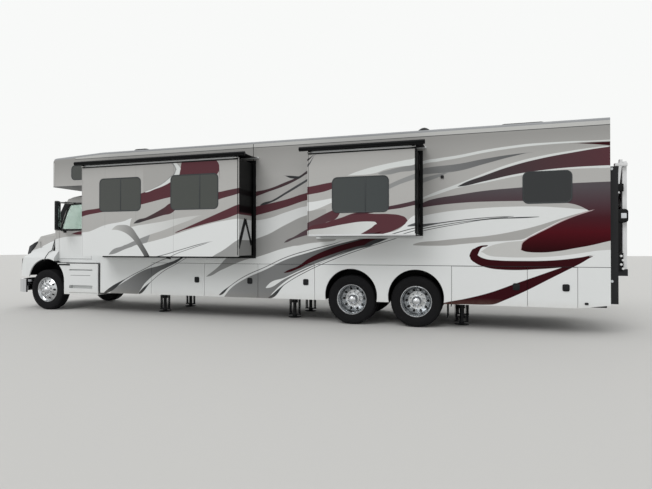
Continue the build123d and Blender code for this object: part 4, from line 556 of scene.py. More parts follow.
finishedNodes = [
    (blackEnamel, "chassis_frame front_axle rear_axles powertrain levelling_jacks knuckle_left knuckle_right"
                  " basement house_floor carrier_mast"),
    (darkGlass, "fixed_glass slide_long_windows slide_short_windows slide_right_windows"
                " cab_door_left_glass cab_door_right_glass"),
    (chromePlate, "front_bumper grille"), (darkPlastic, "roof_units patio_awning"),
    (lampLens, "headlamps"), (redLens, "rear_lamps"), (roofSheet, "house_roof"),
    (sealRubber, "seals_and_flaps"), (trimGrey, "cab_interior"), (whitePowder, "carrier_deck"),
    (tyreRubber, " ".join(n for n in nodes if n.startswith("tyre"))),
    (polishedRim, " ".join(n for n in nodes if n.startswith("rim"))),
]
for material, names in finishedNodes:
    for name in names.split():
        coverNode(name, material)
print("finishes done")


# Quads between each point of a grid and its next neighbours
def gridFaces(rows, columns, wrapRows, wrapColumns):
    last = rows - (not wrapRows), columns - (not wrapColumns)
    i, j = np.meshgrid(np.arange(last[0]), np.arange(last[1]), indexing="ij")
    down, side = (i + 1) % rows, (j + 1) % columns
    corners = (i * columns + j, down * columns + j, down * columns + side, i * columns + side)
    return np.stack([c.ravel() for c in corners], axis=1)


def enclosedVolume(points, faces):  # the tetrahedra from the origin to each fan triangle, added up
    first, second, third = points[faces[:, :1]], points[faces[:, 1:-1]], points[faces[:, 2:]]
    return float(np.sum(np.cross(second, third) * first)) / 6


# Each new piece is one or more shells, joined in one mesh. A shell is (grid of points, kind): a "tube" closes
# round its columns and has both ends capped, a "ring" closes both ways, and a "sheet" stays open. A closed
# shell whose volume comes out negative is turned over.
# A shell's third item, where it has one, says how far each point lies in a hole, for its material's shade.
def buildPiece(name, shells, material, body, sharp=38):
    allPoints, allFaces, allHoles, first = [], [], [], 0
    for grid, kind, *hole in shells:
        rows, columns = grid.shape[:2]
        points = grid.reshape(-1, 3)
        parts = [gridFaces(rows, columns, kind == "ring", kind != "sheet")]
        if kind == "tube":
            ring = np.arange(columns)[None, :]
            parts += [ring, (rows - 1) * columns + ring[:, ::-1]]
        if kind != "sheet" and sum(enclosedVolume(points, faces) for faces in parts) < 0:
            parts = [faces[:, ::-1] for faces in parts]
        allPoints.append(points)
        allHoles.append(hole[0].ravel() if hole else np.zeros(len(points)))
        allFaces += [face for faces in parts for face in (faces + first).tolist()]
        first += len(points)
    mesh = bpy.data.meshes.new(name)
    mesh.from_pydata(np.concatenate(allPoints).tolist(), [], allFaces)
    mesh.polygons.foreach_set("use_smooth", np.ones(len(mesh.polygons), bool))
    mesh.set_sharp_from_angle(angle=math.radians(sharp))
    mesh.materials.append(material)
    if np.any(allHoles[0]):
        mesh.attributes.new("holeShade", "FLOAT", "POINT").data.foreach_set("value", np.concatenate(allHoles))
    piece = bpy.data.objects.new(name, mesh)
    bpy.context.scene.collection.objects.link(piece)
    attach(piece, body)
    return piece


def roundedOutline(width, height, corner, steps=5):  # a rectangle with quarter-circle corners, as (point, 2)
    corner = min(corner, width / 2, height / 2)
    quarter = np.linspace(0, np.pi / 2, steps)
    sides = []
    for k, (right, up) in enumerate(((1, 1), (-1, 1), (-1, -1), (1, -1))):
        turn = quarter + k * np.pi / 2
        sides.append(np.stack([right * (width / 2 - corner) + corner * np.cos(turn),
                               up * (height / 2 - corner) + corner * np.sin(turn)], axis=1))
    return np.concatenate(sides)


axisOrder = {"x": (1, 2, 0), "y": (0, 2, 1), "z": (0, 1, 2)}


def layGrid(flat, axis):  # turns (across, up, along) into x, y and z for the axis that "along" runs on
    grid = np.empty_like(flat)
    grid[..., list(axisOrder[axis])] = flat
    return grid


# P(row, turn): a rounded outline carried along an axis, drawn in at both ends on quarter circles.
def block(low, high, axis="z", corner=0.012, edge=0.004, steps=4):
    low, high = np.minimum(low, high), np.maximum(low, high)
    width, height, length = (high - low)[list(axisOrder[axis])]
    quarter = np.linspace(0, np.pi / 2, 4)
    inset = edge * (1 - np.sin(quarter))
    start = edge * (1 - np.cos(quarter)) - length / 2
    rows = [np.column_stack([roundedOutline(width - 2 * i, height - 2 * i, max(corner - i, 0.0005), steps),
                             np.full(4 * steps, s)])
            for i, s in zip([*inset, *inset[::-1]], [*start, *-start[::-1]])]
    return layGrid(np.array(rows), axis) + (low + high) / 2, "tube"


# The same between two stations, two distances from the middle and two heights.
def blockAt(stations, sides, heights, *shape):
    return block((frontAxleX - stations[1], sides[0], heights[0]),
                 (frontAxleX - stations[0], sides[1], heights[1]), *shape)


# P(profile, turn): (distance along the axis, radius) pairs swept round that axis.
def turned(profile, centre, axis="y", sides=48, out=1):
    reach, radius = np.asarray(profile, float).T
    turn = np.linspace(0, 2 * np.pi, sides, endpoint=False)
    flat = np.stack([radius[:, None] * np.cos(turn), radius[:, None] * np.sin(turn),
                     out * reach[:, None] + 0 * turn], axis=-1)
    return layGrid(flat, axis) + np.asarray(centre, float), "tube"


# P(path, turn): an outline carried along a path, square to it, with its second axis towards "up".
def carried(path, outline, up=(0, 0, 1)):
    path = np.asarray(path, float)
    ahead = np.gradient(path, axis=0)
    ahead /= np.linalg.norm(ahead, axis=1, keepdims=True)
    side = np.cross(ahead, up)
    side /= np.linalg.norm(side, axis=1, keepdims=True)
    top = np.cross(side, ahead)
    return path[:, None] + outline[None, :, :1] * side[:, None] + outline[None, :, 1:] * top[:, None], "tube"


def circle(radius, sides=16):
    turn = np.linspace(0, 2 * np.pi, sides, endpoint=False)
    return radius * np.stack([np.cos(turn), np.sin(turn)], axis=1)


# P(share): straight runs, with a parabola in place of each corner that starts "bend" before it.
def bentPath(corners, bend, steps=6):
    corners = [np.asarray(p, float) for p in corners]
    share = np.linspace(0, 1, steps)[:, None]
    runs = [corners[:1]]
    for before, corner, after in zip(corners, corners[1:], corners[2:]):
        start = corner + (before - corner) / np.linalg.norm(before - corner) * bend
        end = corner + (after - corner) / np.linalg.norm(after - corner) * bend
        runs.append((1 - share) ** 2 * start + 2 * share * (1 - share) * corner + share ** 2 * end)
    return np.concatenate([*runs, corners[-1:]])


# P(section, turn): loops of one rounded outline, each set in by its inset and standing out by its rise.
def trimRing(stations, heights, corner, faceY, side, section):
    x = sum(along(stations)) / 2
    z = sum(heights) / 2
    width, height = abs(stations[1] - stations[0]), heights[1] - heights[0]
    loops = []
    for inset, rise in section:
        loop = roundedOutline(width - 2 * inset, height - 2 * inset, max(corner - inset, 0.004), 7)
        level = np.full(len(loop), side * (faceY + rise))
        loops.append(np.column_stack([x + loop[:, 0], level, z + loop[:, 1]]))
    return np.array(loops), "ring"


# Wheels: single at the front, twins on the two rear axles
wheel = {
    "axleHeight": 0.505,
    "front": {"station": 0.0, "centre": 1.04, "coverTip": 0.200, "nutFoot": 0.130, "nutLength": 0.048},
    "mid": {"station": 7.91, "outer": 1.085, "inner": 0.75},
    "rear": {"station": 9.21, "outer": 1.085, "inner": 0.75},
    "twin": {"coverTip": 0.100, "nutFoot": -0.151, "nutLength": 0.052},
    "lugs": 56, "lugCut": 0.007,  # tread blocks round the tyre, and how deep its shoulder is cut between them
    "nuts": 10, "nutCircle": 0.1429,
    "handHoles": 10, "holeCircle": 0.214, "holeRadius": 0.029, "holeEdge": 0.006, "holeDepth": 0.013,
    "holeStretch": 1.15,  # how much longer a hand hole is outwards than it is round
}
# Half of the tyre's section, from its bead to the middle of the tread: (distance from the centre plane,
# radius).
tyreSection = [
    (0.100, 0.2925), (0.110, 0.300), (0.1165, 0.316), (0.1225, 0.328), (0.1215, 0.335), (0.129, 0.360),
    (0.1345, 0.392), (0.1345, 0.420), (0.1300, 0.446), (0.1312, 0.452), (0.1275, 0.458), (0.1245, 0.474),
    (0.1195, 0.487), (0.110, 0.4960), (0.098, 0.5000), (0.072, 0.5025), (0.0700, 0.4900), (0.0625, 0.4900),
    (0.0605, 0.5030), (0.0275, 0.5045), (0.0255, 0.4910), (0.0180, 0.4910), (0.0160, 0.5050),
]


# P(section, turn): the section swept round the axle; every fourth step of its shoulder is cut in.
def tyreShell(x, y):
    half = np.array(tyreSection)
    section = np.concatenate([half, half[::-1] * (-1, 1)])
    turn = np.linspace(0, 2 * np.pi, 4 * wheel["lugs"], endpoint=False)
    shoulder = (abs(section[:, 0]) > 0.09) & (section[:, 1] > 0.470)
    cut = wheel["lugCut"] * shoulder[:, None] * (np.arange(len(turn)) % 4 == 0)
    radius = section[:, 1:] - cut
    grid = np.stack([x + radius * np.cos(turn), y + section[:, :1] + 0 * turn,
                     wheel["axleHeight"] + radius * np.sin(turn)], axis=-1)
    return grid, "ring"


# Rim profiles from the hub out over the face, round the flange, through the barrel and back to the hub:
# (distance out from the tyre's centre plane, radius).
frontRimProfile = [
    (0.165, 0.002), (0.165, 0.064), (0.158, 0.080), (0.137, 0.092), (0.131, 0.100),
    (0.130, 0.140), (0.129, 0.176), *zip(np.linspace(0.127, 0.090, 17), np.linspace(0.180, 0.250, 17)),
    (0.076, 0.262), (0.072, 0.271), (0.082, 0.279), (0.094, 0.286), (0.104, 0.292), (0.112, 0.299),
    (0.112, 0.305), (0.103, 0.306), (0.098, 0.294), (0.090, 0.289), (-0.090, 0.289), (-0.100, 0.305),
    (-0.110, 0.303), (-0.104, 0.290), (-0.088, 0.280), (0.040, 0.262), (0.075, 0.230), (0.112, 0.176),
    (0.112, 0.060), (0.112, 0.002),
]
dualRimProfile = [
    (0.060, 0.002), (0.060, 0.060), (0.046, 0.082), (0.010, 0.095), (-0.060, 0.097),
    (-0.063, 0.112), (-0.150, 0.116), (-0.152, 0.140), (-0.151, 0.178),
    *zip(np.linspace(-0.149, -0.100, 17), np.linspace(0.182, 0.248, 17)),
    (-0.070, 0.261), (-0.020, 0.266), (0.050, 0.271), (0.080, 0.279), (0.094, 0.286), (0.104, 0.292),
    (0.112, 0.299), (0.112, 0.305), (0.103, 0.306), (0.098, 0.294), (0.090, 0.289), (-0.090, 0.289),
    (-0.100, 0.305), (-0.110, 0.303), (-0.104, 0.290), (-0.130, 0.262), (-0.160, 0.230), (-0.166, 0.176),
    (-0.166, 0.002),
]
innerRimProfile = [
    (-0.112, 0.002), (-0.112, 0.176), (-0.080, 0.250), (-0.088, 0.280), (-0.104, 0.292), (-0.112, 0.303),
    (-0.100, 0.305), (-0.090, 0.289), (0.090, 0.289), (0.100, 0.305), (0.110, 0.300), (0.088, 0.278),
    (0.000, 0.268), (0.130, 0.176), (0.130, 0.002),
]
# A hub cover's profile: (distance back from its tip, radius).
hubCover = [(0.060, 0.083), (0.042, 0.081), (0.022, 0.067), (0.008, 0.044), (0.001, 0.020), (0.000, 0.002)]


# P(profile, turn): the rim swept round its axle, with round dents deep enough to read as hand holes.
def rimShell(profile, x, y, out, sides=300):
    grid, kind = turned(profile, (x, y, wheel["axleHeight"]), "y", sides, out)
    reach, radius = np.array(profile).T
    turn = np.linspace(0, 2 * np.pi, sides, endpoint=False)
    pitch = 2 * np.pi / wheel["handHoles"]
    around = wheel["holeCircle"] * (np.mod(turn + pitch / 2, pitch) - pitch / 2)
    face = np.arange(len(radius)) < np.argmax(radius)
    away = np.hypot((radius[:, None] - wheel["holeCircle"]) / wheel["holeStretch"], around[None, :])
    inHole = np.clip((wheel["holeRadius"] - away) / wheel["holeEdge"], 0, 1) * face[:, None]
    grid[..., 1] -= out * wheel["holeDepth"] * inHole
    return grid, kind, inHole


def wheelNuts(x, y, out, length):  # tapered nut covers, evenly round their circle
    turn = (np.arange(wheel["nuts"]) + 0.5) * 2 * np.pi / wheel["nuts"]
    cover = [(-0.01, 0.021), (0.006, 0.021), (0.007, 0.017), (length * 0.6, 0.0155), (length * 0.9, 0.011),
             (length, 0.004)]
    ring = wheel["nutCircle"]
    return [turned(cover, (x + ring * np.cos(t), y, wheel["axleHeight"] + ring * np.sin(t)), "y", 12, out)
            for t in turn]


for sideName, out in (("Left", 1), ("Right", -1)):
    low = sideName.lower()
    for place in ("front", "mid", "rear"):
        spec = wheel[place]
        x = frontAxleX - spec["station"]
        body = f"wheel_front_{low}" if place == "front" else f"wheels_{place}_{low}"
        tail = f"{place}{sideName}"
        if place == "front":
            y = out * spec["centre"]
            tyreShells = [tyreShell(x, y)]
            rimShells = [rimShell(frontRimProfile, x, y, out)]
            tyreNode, rimNode = f"tyre_front_{low}", f"rim_front_{low}"
        else:
            y = out * spec["outer"]
            tyreShells = [tyreShell(x, y), tyreShell(x, out * spec["inner"])]
            rimShells = [rimShell(dualRimProfile, x, y, out),
                         turned(innerRimProfile, (x, out * spec["inner"], wheel["axleHeight"]), "y", 72, out)]
            tyreNode, rimNode = f"tyres_{place}_{low}", f"rims_{place}_{low}"
            spec = wheel["twin"]
        rimShells += wheelNuts(x, y + out * spec["nutFoot"], out, spec["nutLength"])
        profile = [(spec["coverTip"] - back, radius) for back, radius in hubCover]
        cover = turned(profile, (x, y, wheel["axleHeight"]), "y", 40, out)
        buildPiece(f"hubCover.{tail}", [cover], chromePlate, body)
        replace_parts(buildPiece(f"tyre.{tail}", tyreShells, tyreRubber, body), tyreNode)
        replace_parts(buildPiece(f"rim.{tail}", rimShells, polishedRim, body), rimNode)
print("wheels done")

# Windows: a dark extrusion round each pane, and the bar where a sliding pane meets the fixed one.
# (label, body, side, how far out, stations, heights, station of the bar)
houseWindows = [
    ("longFront", "slide_long", 1, slideSide, (2.360, 3.430), (2.364, 3.083), 2.915),
    ("longRear", "slide_long", 1, slideSide, (4.186, 5.300), (2.364, 3.083), 4.880),
    ("short", "slide_short", 1, slideSide, (7.730, 8.800), (2.226, 2.886), 8.370),
    ("slideRight", "slide_right", -1, slideSide, (4.900, 6.250), (2.364, 3.083), 5.575),
    ("bunkLeft", "root", 1, houseSide, (0.870, 1.500), (3.225, 3.570), None),
    ("bedLeft", "root", 1, houseSide, (11.160, 11.970), (2.374, 2.945), None),
    ("bunkRight", "root", -1, houseSide, (0.870, 1.500), (3.225, 3.570), None),
    ("diningRight", "root", -1, houseSide, (3.000, 3.700), (2.364, 3.000), None),
    ("kitchenRight", "root", -1, houseSide, (7.900, 9.000), (2.226, 2.886), 8.450),
    ("bedRight", "root", -1, houseSide, (11.160, 11.970), (2.374, 2.945), None),
    ("entryDoor", "entry_door", -1, houseSide, (2.220, 2.600), (2.150, 2.850), None),
]
windowTrim = {
    # (how far in from the pane's edge, how far out from the wall) round the extrusion's section
    "section": [(-0.006, -0.004), (-0.010, 0.002), (-0.008, 0.006), (0.006, 0.008), (0.014, 0.004),
                (0.016, -0.004)],
    "corner": 0.095, "bar": 0.024, "barSunk": 0.004, "barProud": 0.007,
}
for label, body, side, face, stations, heights, barAt in houseWindows:
    shells = [trimRing(stations, heights, windowTrim["corner"], face, side, windowTrim["section"])]
    if barAt:
        half, sunk, proud = windowTrim["bar"] / 2, windowTrim["barSunk"], windowTrim["barProud"]
        shells.append(blockAt((barAt - half, barAt + half), (side * (face - sunk), side * (face + proud)),
                              (heights[0] + sunk, heights[1] - sunk), "z", 0.002, 0.002, 2))
    buildPiece(f"windowTrim.{label}", shells, blackExtrusion, body)
print("window trims done")

# Slide toppers: a covered roller on each slide room, and the cloth to it from a rail on the wall
topper = {
    "rollerOut": slideSide + 0.0454, "rollerOver": 0.078, "coverRadius": 0.0424, "endRadius": 0.038,
    "overhang": 0.17, "wallRail": houseSide + 0.020, "railOver": 0.130,  # over: above the face's head
    "clothInset": 0.060, "clothThick": 0.0012, "clothFlat": 0.752, "clothKept": 0.13,
    "sag": 0.020, "wave": 0.25, "waveRate": 9.0,  # the sag changes along the cloth by this share, so fast
}
# (front and rear station, foot and head of its face, side)
slideRooms = {
    "slide_long": (1.890, 5.750, 1.400, 3.370, 1),
    "slide_short": (7.250, 9.290, 1.810, 3.380, 1),
    "slide_right": (4.250, 6.900, 1.400, 3.370, -1),
}
for node, (front, rear, foot, head, side) in slideRooms.items():
    label = node.split("_")[1].title()
    level = head + topper["rollerOver"]
    length = rear - front + 2 * topper["overhang"] + 0.006
    radius, cap = topper["coverRadius"], topper["endRadius"]
    tube = [(0, 0.020), (0, cap), (0.004, radius), (length - 0.004, radius), (length, cap), (length, 0.020)]
    start = frontAxleX - rear - topper["overhang"] - 0.003
    roller = [turned(tube, (start, side * topper["rollerOut"], level), "x", 32)]
    buildPiece(f"topperRoller.{label}", roller, blackPowder, node)
    # P(width, reach): straight from the rail to the top of the roller, hung down by a parabola between them.
    across = np.linspace(0, 1, 25)[None, :]
    x = np.linspace(frontAxleX - rear - topper["overhang"] + topper["clothInset"],
                    frontAxleX - front + topper["overhang"] - topper["clothInset"], 80)[:, None]
    y = topper["wallRail"] + across * (topper["rollerOut"] - topper["wallRail"])
    rail = head + topper["railOver"]
    wave = topper["wave"] * np.sin(x * topper["waveRate"]) * across * (1 - across)
    hang = topper["sag"] * 4 * across * (1 - across) * (1 + wave)
    z = rail + across * (level + radius + 0.001 - rail) - hang
    grid = np.stack([x + 0 * y, side * y + 0 * x, z + 0 * x], axis=-1)
    cloth = buildPiece(f"topperCloth.{label}", [(grid, "sheet")], topperVinyl, node)
    thick = cloth.modifiers.new("thickness", "SOLIDIFY")
    thick.thickness = topper["clothThick"]
    thick.offset = 0
    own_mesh(cloth)
    # The rail that holds the cloth on the wall
    railLow = (float(x.min()) - 0.02, side * houseSide, rail - 0.022)
    railHigh = (float(x.max()) + 0.02, side * (houseSide + 0.024), rail + 0.012)
    railShell = block(railLow, railHigh, "x", 0.006, 0.002)
    buildPiece(f"topperRail.{label}", [railShell], paleExtrusion, "root")
    # A pale drip strip over a dark shadow gap along the face's head, and dark trim down its rear corner
    ends, sides = (front - 0.002, rear + 0.002), (side * (slideSide - 0.002), side * (slideSide + 0.006))
    drip = blockAt(ends, sides, (head + 0.001, head + 0.033), "x", 0.003, 0.002, 3)
    gap = blockAt(ends, sides, (head - 0.027, head - 0.002), "x", 0.003, 0.002, 3)
    corner = blockAt((rear - 0.012, rear + 0.001), (side * (slideSide - 0.020), side * (slideSide + 0.004)),
                     (foot + 0.010, head - 0.030), "z", 0.003, 0.002, 3)
    buildPiece(f"slideDrip.{label}", [drip], trimPaint, node)
    buildPiece(f"slideGap.{label}", [gap, corner], blackPowder, node)
# A pale lip under the short slide's face
lip = blockAt((7.250, 9.290), (slideSide - 0.010, slideSide + 0.004), (1.782, 1.816), "x", 0.003, 0.002, 3)
buildPiece("slideLip", [lip], paleExtrusion, "slide_short")
# The flat struts on the rear end of the long slide: each foot as (distance out, height) with its width
strut = {"station": 5.751, "head": (1.66, 2.155), "thick": 0.004,
         "feet": (((1.968, 1.56), 0.110), ((1.37, 1.62), 0.080))}
struts = []
for foot, width in strut["feet"]:
    path = np.linspace((along(strut["station"]), *foot), (along(strut["station"]), *strut["head"]), 4)
    struts.append(carried(path, roundedOutline(width, strut["thick"], 0.0015), (1, 0, 0)))
buildPiece("slideStruts", struts, blackPowder, "slide_long")
print("toppers done")

# Baggage doors: a rounded black latch on each, with its paddle and lock
bayDoors = {
    "left": [(3.170, 4.560), (4.560, 5.860), (5.860, 7.140), (9.890, 11.230), (11.230, 12.060)],
    "right": [(2.900, 5.000), (5.000, 7.140)],
}
latch = {
    "width": 0.118, "height": 0.128, "level": 0.8455, "back": 0.190, "proud": 0.013, "corner": 0.030,
    "paddle": (-0.040, 0.034), "paddleHalf": 0.036, "paddleProud": 0.007,
    "lock": [(0, 0.011), (0.004, 0.011), (0.005, 0.009), (0.0052, 0.002)], "lockOver": 0.048,
}
for low, bays in bayDoors.items():
    side = 1 if low == "left" else -1
    for number, (first, last) in enumerate(bays, 1):
        station, z, face = last - latch["back"], latch["level"], houseSide + latch["proud"]
        halfWide, halfHigh = latch["width"] / 2, latch["height"] / 2
        plate = blockAt((station - halfWide, station + halfWide), (side * (houseSide - 0.002), side * face),
                        (z - halfHigh, z + halfHigh), "y", latch["corner"], 0.005, 7)
        paddleFoot, paddleHead = latch["paddle"]
        paddle = blockAt((station - latch["paddleHalf"], station + latch["paddleHalf"]),
                         (side * (face - 0.002), side * (face + latch["paddleProud"])),
                         (z + paddleFoot, z + paddleHead), "y", 0.014, 0.005, 5)
        lock = turned(latch["lock"], (along(station), side * face, z + latch["lockOver"]), "y", 20, side)
        shells = [plate, paddle, lock]
        buildPiece(f"latch.{low}{number}", shells, darkPlastic, f"bay_door_{low}_{number}")
print("latches done")

# Outside mirrors: a rounded housing with two panes facing back, on two bent arms from the door
mirror = {
    "station": 0.525, "reach": 1.360, "width": 0.218, "depth": 0.083, "corner": 0.037, "toe": 27,
    "heights": (1.981, 2.709), "armRadius": 0.0165,
    # each arm: (station, distance out) of its foot, and the heights of its foot and head
    "arms": [((0.430, 1.020), 1.968, 2.015), ((0.612, 0.925), 2.675, 2.670)],
    # each pane: bottom, top, and how far in from the housing's sides
    "panes": [(2.235, 2.675, 0.020), (2.020, 2.205, 0.030)],
}
for low, side in (("left", 1), ("right", -1)):
    body = f"cab_door_{low}"
    toe = math.radians(side * mirror["toe"])
    centre = np.array([frontAxleX - mirror["station"], side * mirror["reach"], 0])
    turnIn = np.array([[math.cos(toe), -math.sin(toe), 0], [math.sin(toe), math.cos(toe), 0], [0, 0, 1]])
    halfDepth, halfWidth = mirror["depth"] / 2, mirror["width"] / 2
    bottom, top = mirror["heights"]
    housing, kind = block((-halfDepth, -halfWidth, bottom), (halfDepth, halfWidth, top), "z",
                          mirror["corner"], 0.030, 8)
    shells = [(housing @ turnIn.T + centre, kind)]
    for (station, footSide), footHeight, headHeight in mirror["arms"]:
        halfWay = (station + mirror["station"]) / 2
        corners = [(frontAxleX - station, side * footSide, footHeight),
                   (frontAxleX - halfWay, side * (footSide + 0.13), footHeight + 0.02),
                   (frontAxleX - mirror["station"], side * (mirror["reach"] - 0.02), headHeight)]
        shells.append(carried(bentPath(corners, 0.09, 8), circle(mirror["armRadius"], 14)))
        foot = np.array(corners[0])
        shells.append(block(foot - (0.045, 0.030, 0.030), foot + (0.045, 0.030, 0.030), "x", 0.020, 0.008))
    buildPiece(f"mirror.{low}", shells, darkPlastic, body)
    panes = []
    for bottom, top, inset in mirror["panes"]:
        pane, kind = block((-halfDepth - 0.004, -halfWidth + inset, bottom),
                           (-halfDepth + 0.006, halfWidth - inset, top), "x", 0.022, 0.003, 6)
        panes.append((pane @ turnIn.T + centre, kind))
    buildPiece(f"mirrorGlass.{low}", panes, mirrorGlass, body)
print("mirrors done")

# Levelling jacks: a cylinder between two return springs, over a round foot. Profiles are (height, radius).
jack = {
    "stations": (3.040, 6.440, 10.060), "side": 0.561, "springOut": 0.105,
    "leg": [(0.0, 0.130), (0.002, 0.145), (0.012, 0.145), (0.022, 0.130), (0.026, 0.060), (0.050, 0.045),
            (0.060, 0.040), (0.340, 0.040)],
    "cylinder": [(0.325, 0.050), (0.330, 0.070), (0.352, 0.070), (0.356, 0.066), (0.800, 0.066),
                 (0.806, 0.050)],
    "rod": [(0.050, 0.012), (0.650, 0.012)],
    "spring": {"low": 0.075, "high": 0.640, "radius": 0.030, "wire": 0.0065, "turns": 24},
}


def springShell(x, y, low, high, radius, wire, turns):  # P(path, turn): a round wire carried along a helix
    t = np.linspace(0, 1, turns * 14)
    path = np.stack([x + radius * np.cos(2 * np.pi * turns * t), y + radius * np.sin(2 * np.pi * turns * t),
                     low + (high - low) * t], axis=1)
    return carried(path, circle(wire, 8))


jackShells = []
for station in jack["stations"]:
    for side in (1, -1):
        x, y = frontAxleX - station, side * jack["side"]
        jackShells += [turned(jack["leg"], (x, y, 0), "z", 36), turned(jack["cylinder"], (x, y, 0), "z", 36)]
        for shift in (-jack["springOut"], jack["springOut"]):
            jackShells += [springShell(x + shift, y, **jack["spring"]),
                           turned(jack["rod"], (x + shift, y, 0), "z", 12)]
        # the lower and upper bars that hold the springs, and the bracket to the frame
        jackShells += [block((x - 0.140, y - 0.030, 0.052), (x + 0.140, y + 0.030, 0.078), "z", 0.020, 0.004),
                       block((x - 0.140, y - 0.036, 0.640), (x + 0.140, y + 0.036, 0.668), "z", 0.020, 0.004),
                       block((x - 0.060, side * 0.466, 0.850), (x + 0.060, y, 1.010), "y", 0.012, 0.004)]
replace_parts(buildPiece("jackLegs", jackShells, blackEnamel, "root"), "levelling_jacks")
print("jacks done")

# Rear carrier: the lift arms, latch, hooks and brackets on each side of the mast, and the clear reflectors
carrier = {
    "side": 1.040, "half": 0.055,
    "slant": [(12.750, 2.530), (12.752, 2.700), (12.800, 3.130)],  # lift arm, as (station, height)
    "pin": [(-0.050, 0.030), (-0.046, 0.034), (0.046, 0.034), (0.050, 0.030)],
    "hook": [(-0.060, 0.014), (-0.056, 0.020), (0.056, 0.020), (0.060, 0.014)],
    "dot": [(0, 0.024), (0.010, 0.024), (0.014, 0.018), (0.015, 0.003)],
    "hooks": [(12.822, 1.190), (12.792, 1.265), (12.822, 1.340), (12.792, 1.415)],  # as (station, height)
    "dots": [(12.640, 0.965), (12.640, 2.965)],
    # blocks of the arm's head in white and of its latch, foot, bracket and hook plate in black:
    # (stations, inset from the arm's sides, heights, axis, corner, edge)
    "white": [((12.700, 12.900), 0.015, (3.010, 3.070), "x", 0.012, 0.004)],
    "black": [((12.740, 12.905), 0.0, (2.010, 2.250), "y", 0.050, 0.006),
              ((12.740, 12.800), 0.02, (1.500, 2.020), "z", 0.014, 0.004),
              ((12.740, 12.835), 0.01, (2.560, 2.700), "x", 0.016, 0.004),
              ((12.745, 12.835), 0.03, (1.150, 1.470), "z", 0.010, 0.003)],
}


def armBlocks(side, listed):
    return [blockAt(stations, (side * carrier["side"] - carrier["half"] + inset,
                               side * carrier["side"] + carrier["half"] - inset), heights, *shape)
            for stations, inset, heights, *shape in listed]


whiteArms, darkArms, dots = [], [], []
for side in (1, -1):
    middle = side * carrier["side"]
    slant = [(frontAxleX - station, middle, height) for station, height in carrier["slant"]]
    whiteArms.append(carried(bentPath(slant, 0.06), roundedOutline(0.070, 0.050, 0.010), (1, 0, 0)))
    whiteArms += armBlocks(side, carrier["white"])
    whiteArms += [turned(carrier["hook"], (frontAxleX - station, middle, height), "y", 16)
                  for station, height in carrier["hooks"]]
    darkArms += armBlocks(side, carrier["black"])
    darkArms.append(turned(carrier["pin"], (frontAxleX - 12.870, middle, 2.130), "y", 24))
    dots.append(blockAt((12.790, 12.875), (side * 1.090, side * 1.100), (2.085, 2.175), "y", 0.006, 0.002))
    dots += [turned(carrier["dot"], (frontAxleX - station, side * 1.100, height), "y", 20, side)
             for station, height in carrier["dots"]]
buildPiece("carrierArmsWhite", whiteArms, whitePowder, "root")
buildPiece("carrierArmsDark", darkArms, blackPowder, "root")
buildPiece("carrierReflectors", dots, clearLamp, "root")
print("carrier done")

# Roof: moulded shrouds over the air conditioners and vents, and a domed cover.
# Units are (stations, half width, height, how far its edge draws in, finish)
roof = {
    "top": 3.850, "corner": 0.09,
    "power": 0.6,  # how square the shrouds' shoulders are, where 1 is a plain arc
    "ribbed": 0.4,  # the shortest shroud that has ribs
    "ribs": 5, "ribHalf": 0.012, "ribDeep": 0.014, "ribShort": 0.02,
    "units": [
        ((1.830, 2.300), 0.300, 0.285, 0.10, "dark"), ((3.300, 3.900), 0.240, 0.150, 0.05, "pale"),
        ((5.950, 6.450), 0.250, 0.265, 0.09, "pale"), ((6.700, 8.230), 0.300, 0.250, 0.11, "pale"),
        ((8.260, 8.350), 0.060, 0.290, 0.02, "dark"), ((10.800, 11.700), 0.340, 0.262, 0.11, "dark"),
    ],
    "domeStation": 9.260,
    "dome": [(-0.002, 0.212), (0.050, 0.213), (0.130, 0.206), (0.200, 0.188), (0.260, 0.156), (0.305, 0.115),
             (0.335, 0.070), (0.350, 0.030), (0.354, 0.004)],
}
roofTop = roof["top"]
roofShells = {"dark": [], "pale": []}
for (front, rear), half, height, drawn, finish in roof["units"]:
    # P(level, turn): a rounded plan whose edge draws in towards the top along a superellipse
    turn = np.linspace(0, np.pi / 2, 14)
    inset = drawn * (1 - np.cos(turn) ** roof["power"])
    level = (height - 0.008) * np.sin(turn) ** roof["power"] - 0.002
    x, length = frontAxleX - (front + rear) / 2, rear - front
    rows = []
    for i, z in zip(inset, level):
        plan = roundedOutline(length - 2 * i, 2 * (half - i), max(roof["corner"] - i / 2, 0.01), 8)
        rows.append(np.column_stack([plan + (x, 0), np.full(len(plan), roofTop + z)]))
    roofShells[finish].append((np.array(rows), "tube"))
    if length > roof["ribbed"]:  # stiffening ribs side by side along the longer ones
        reach = length / 2 - drawn - roof["ribShort"]
        for y in np.linspace(-0.8, 0.8, roof["ribs"]) * (half - drawn):
            ribLow = (x - reach, y - roof["ribHalf"], roofTop + height - roof["ribDeep"])
            ribHigh = (x + reach, y + roof["ribHalf"], roofTop + height)
            roofShells[finish].append(block(ribLow, ribHigh, "x", 0.006, 0.006))
roofShells["dark"].append(turned(roof["dome"], (frontAxleX - roof["domeStation"], 0, roofTop), "z", 48))
for finish, material in (("dark", shroudBlack), ("pale", shroudPale)):
    shroud = buildPiece(f"roofUnits.{finish}", roofShells[finish], material, "root")
    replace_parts(shroud, "roof_units")
print("roof done")
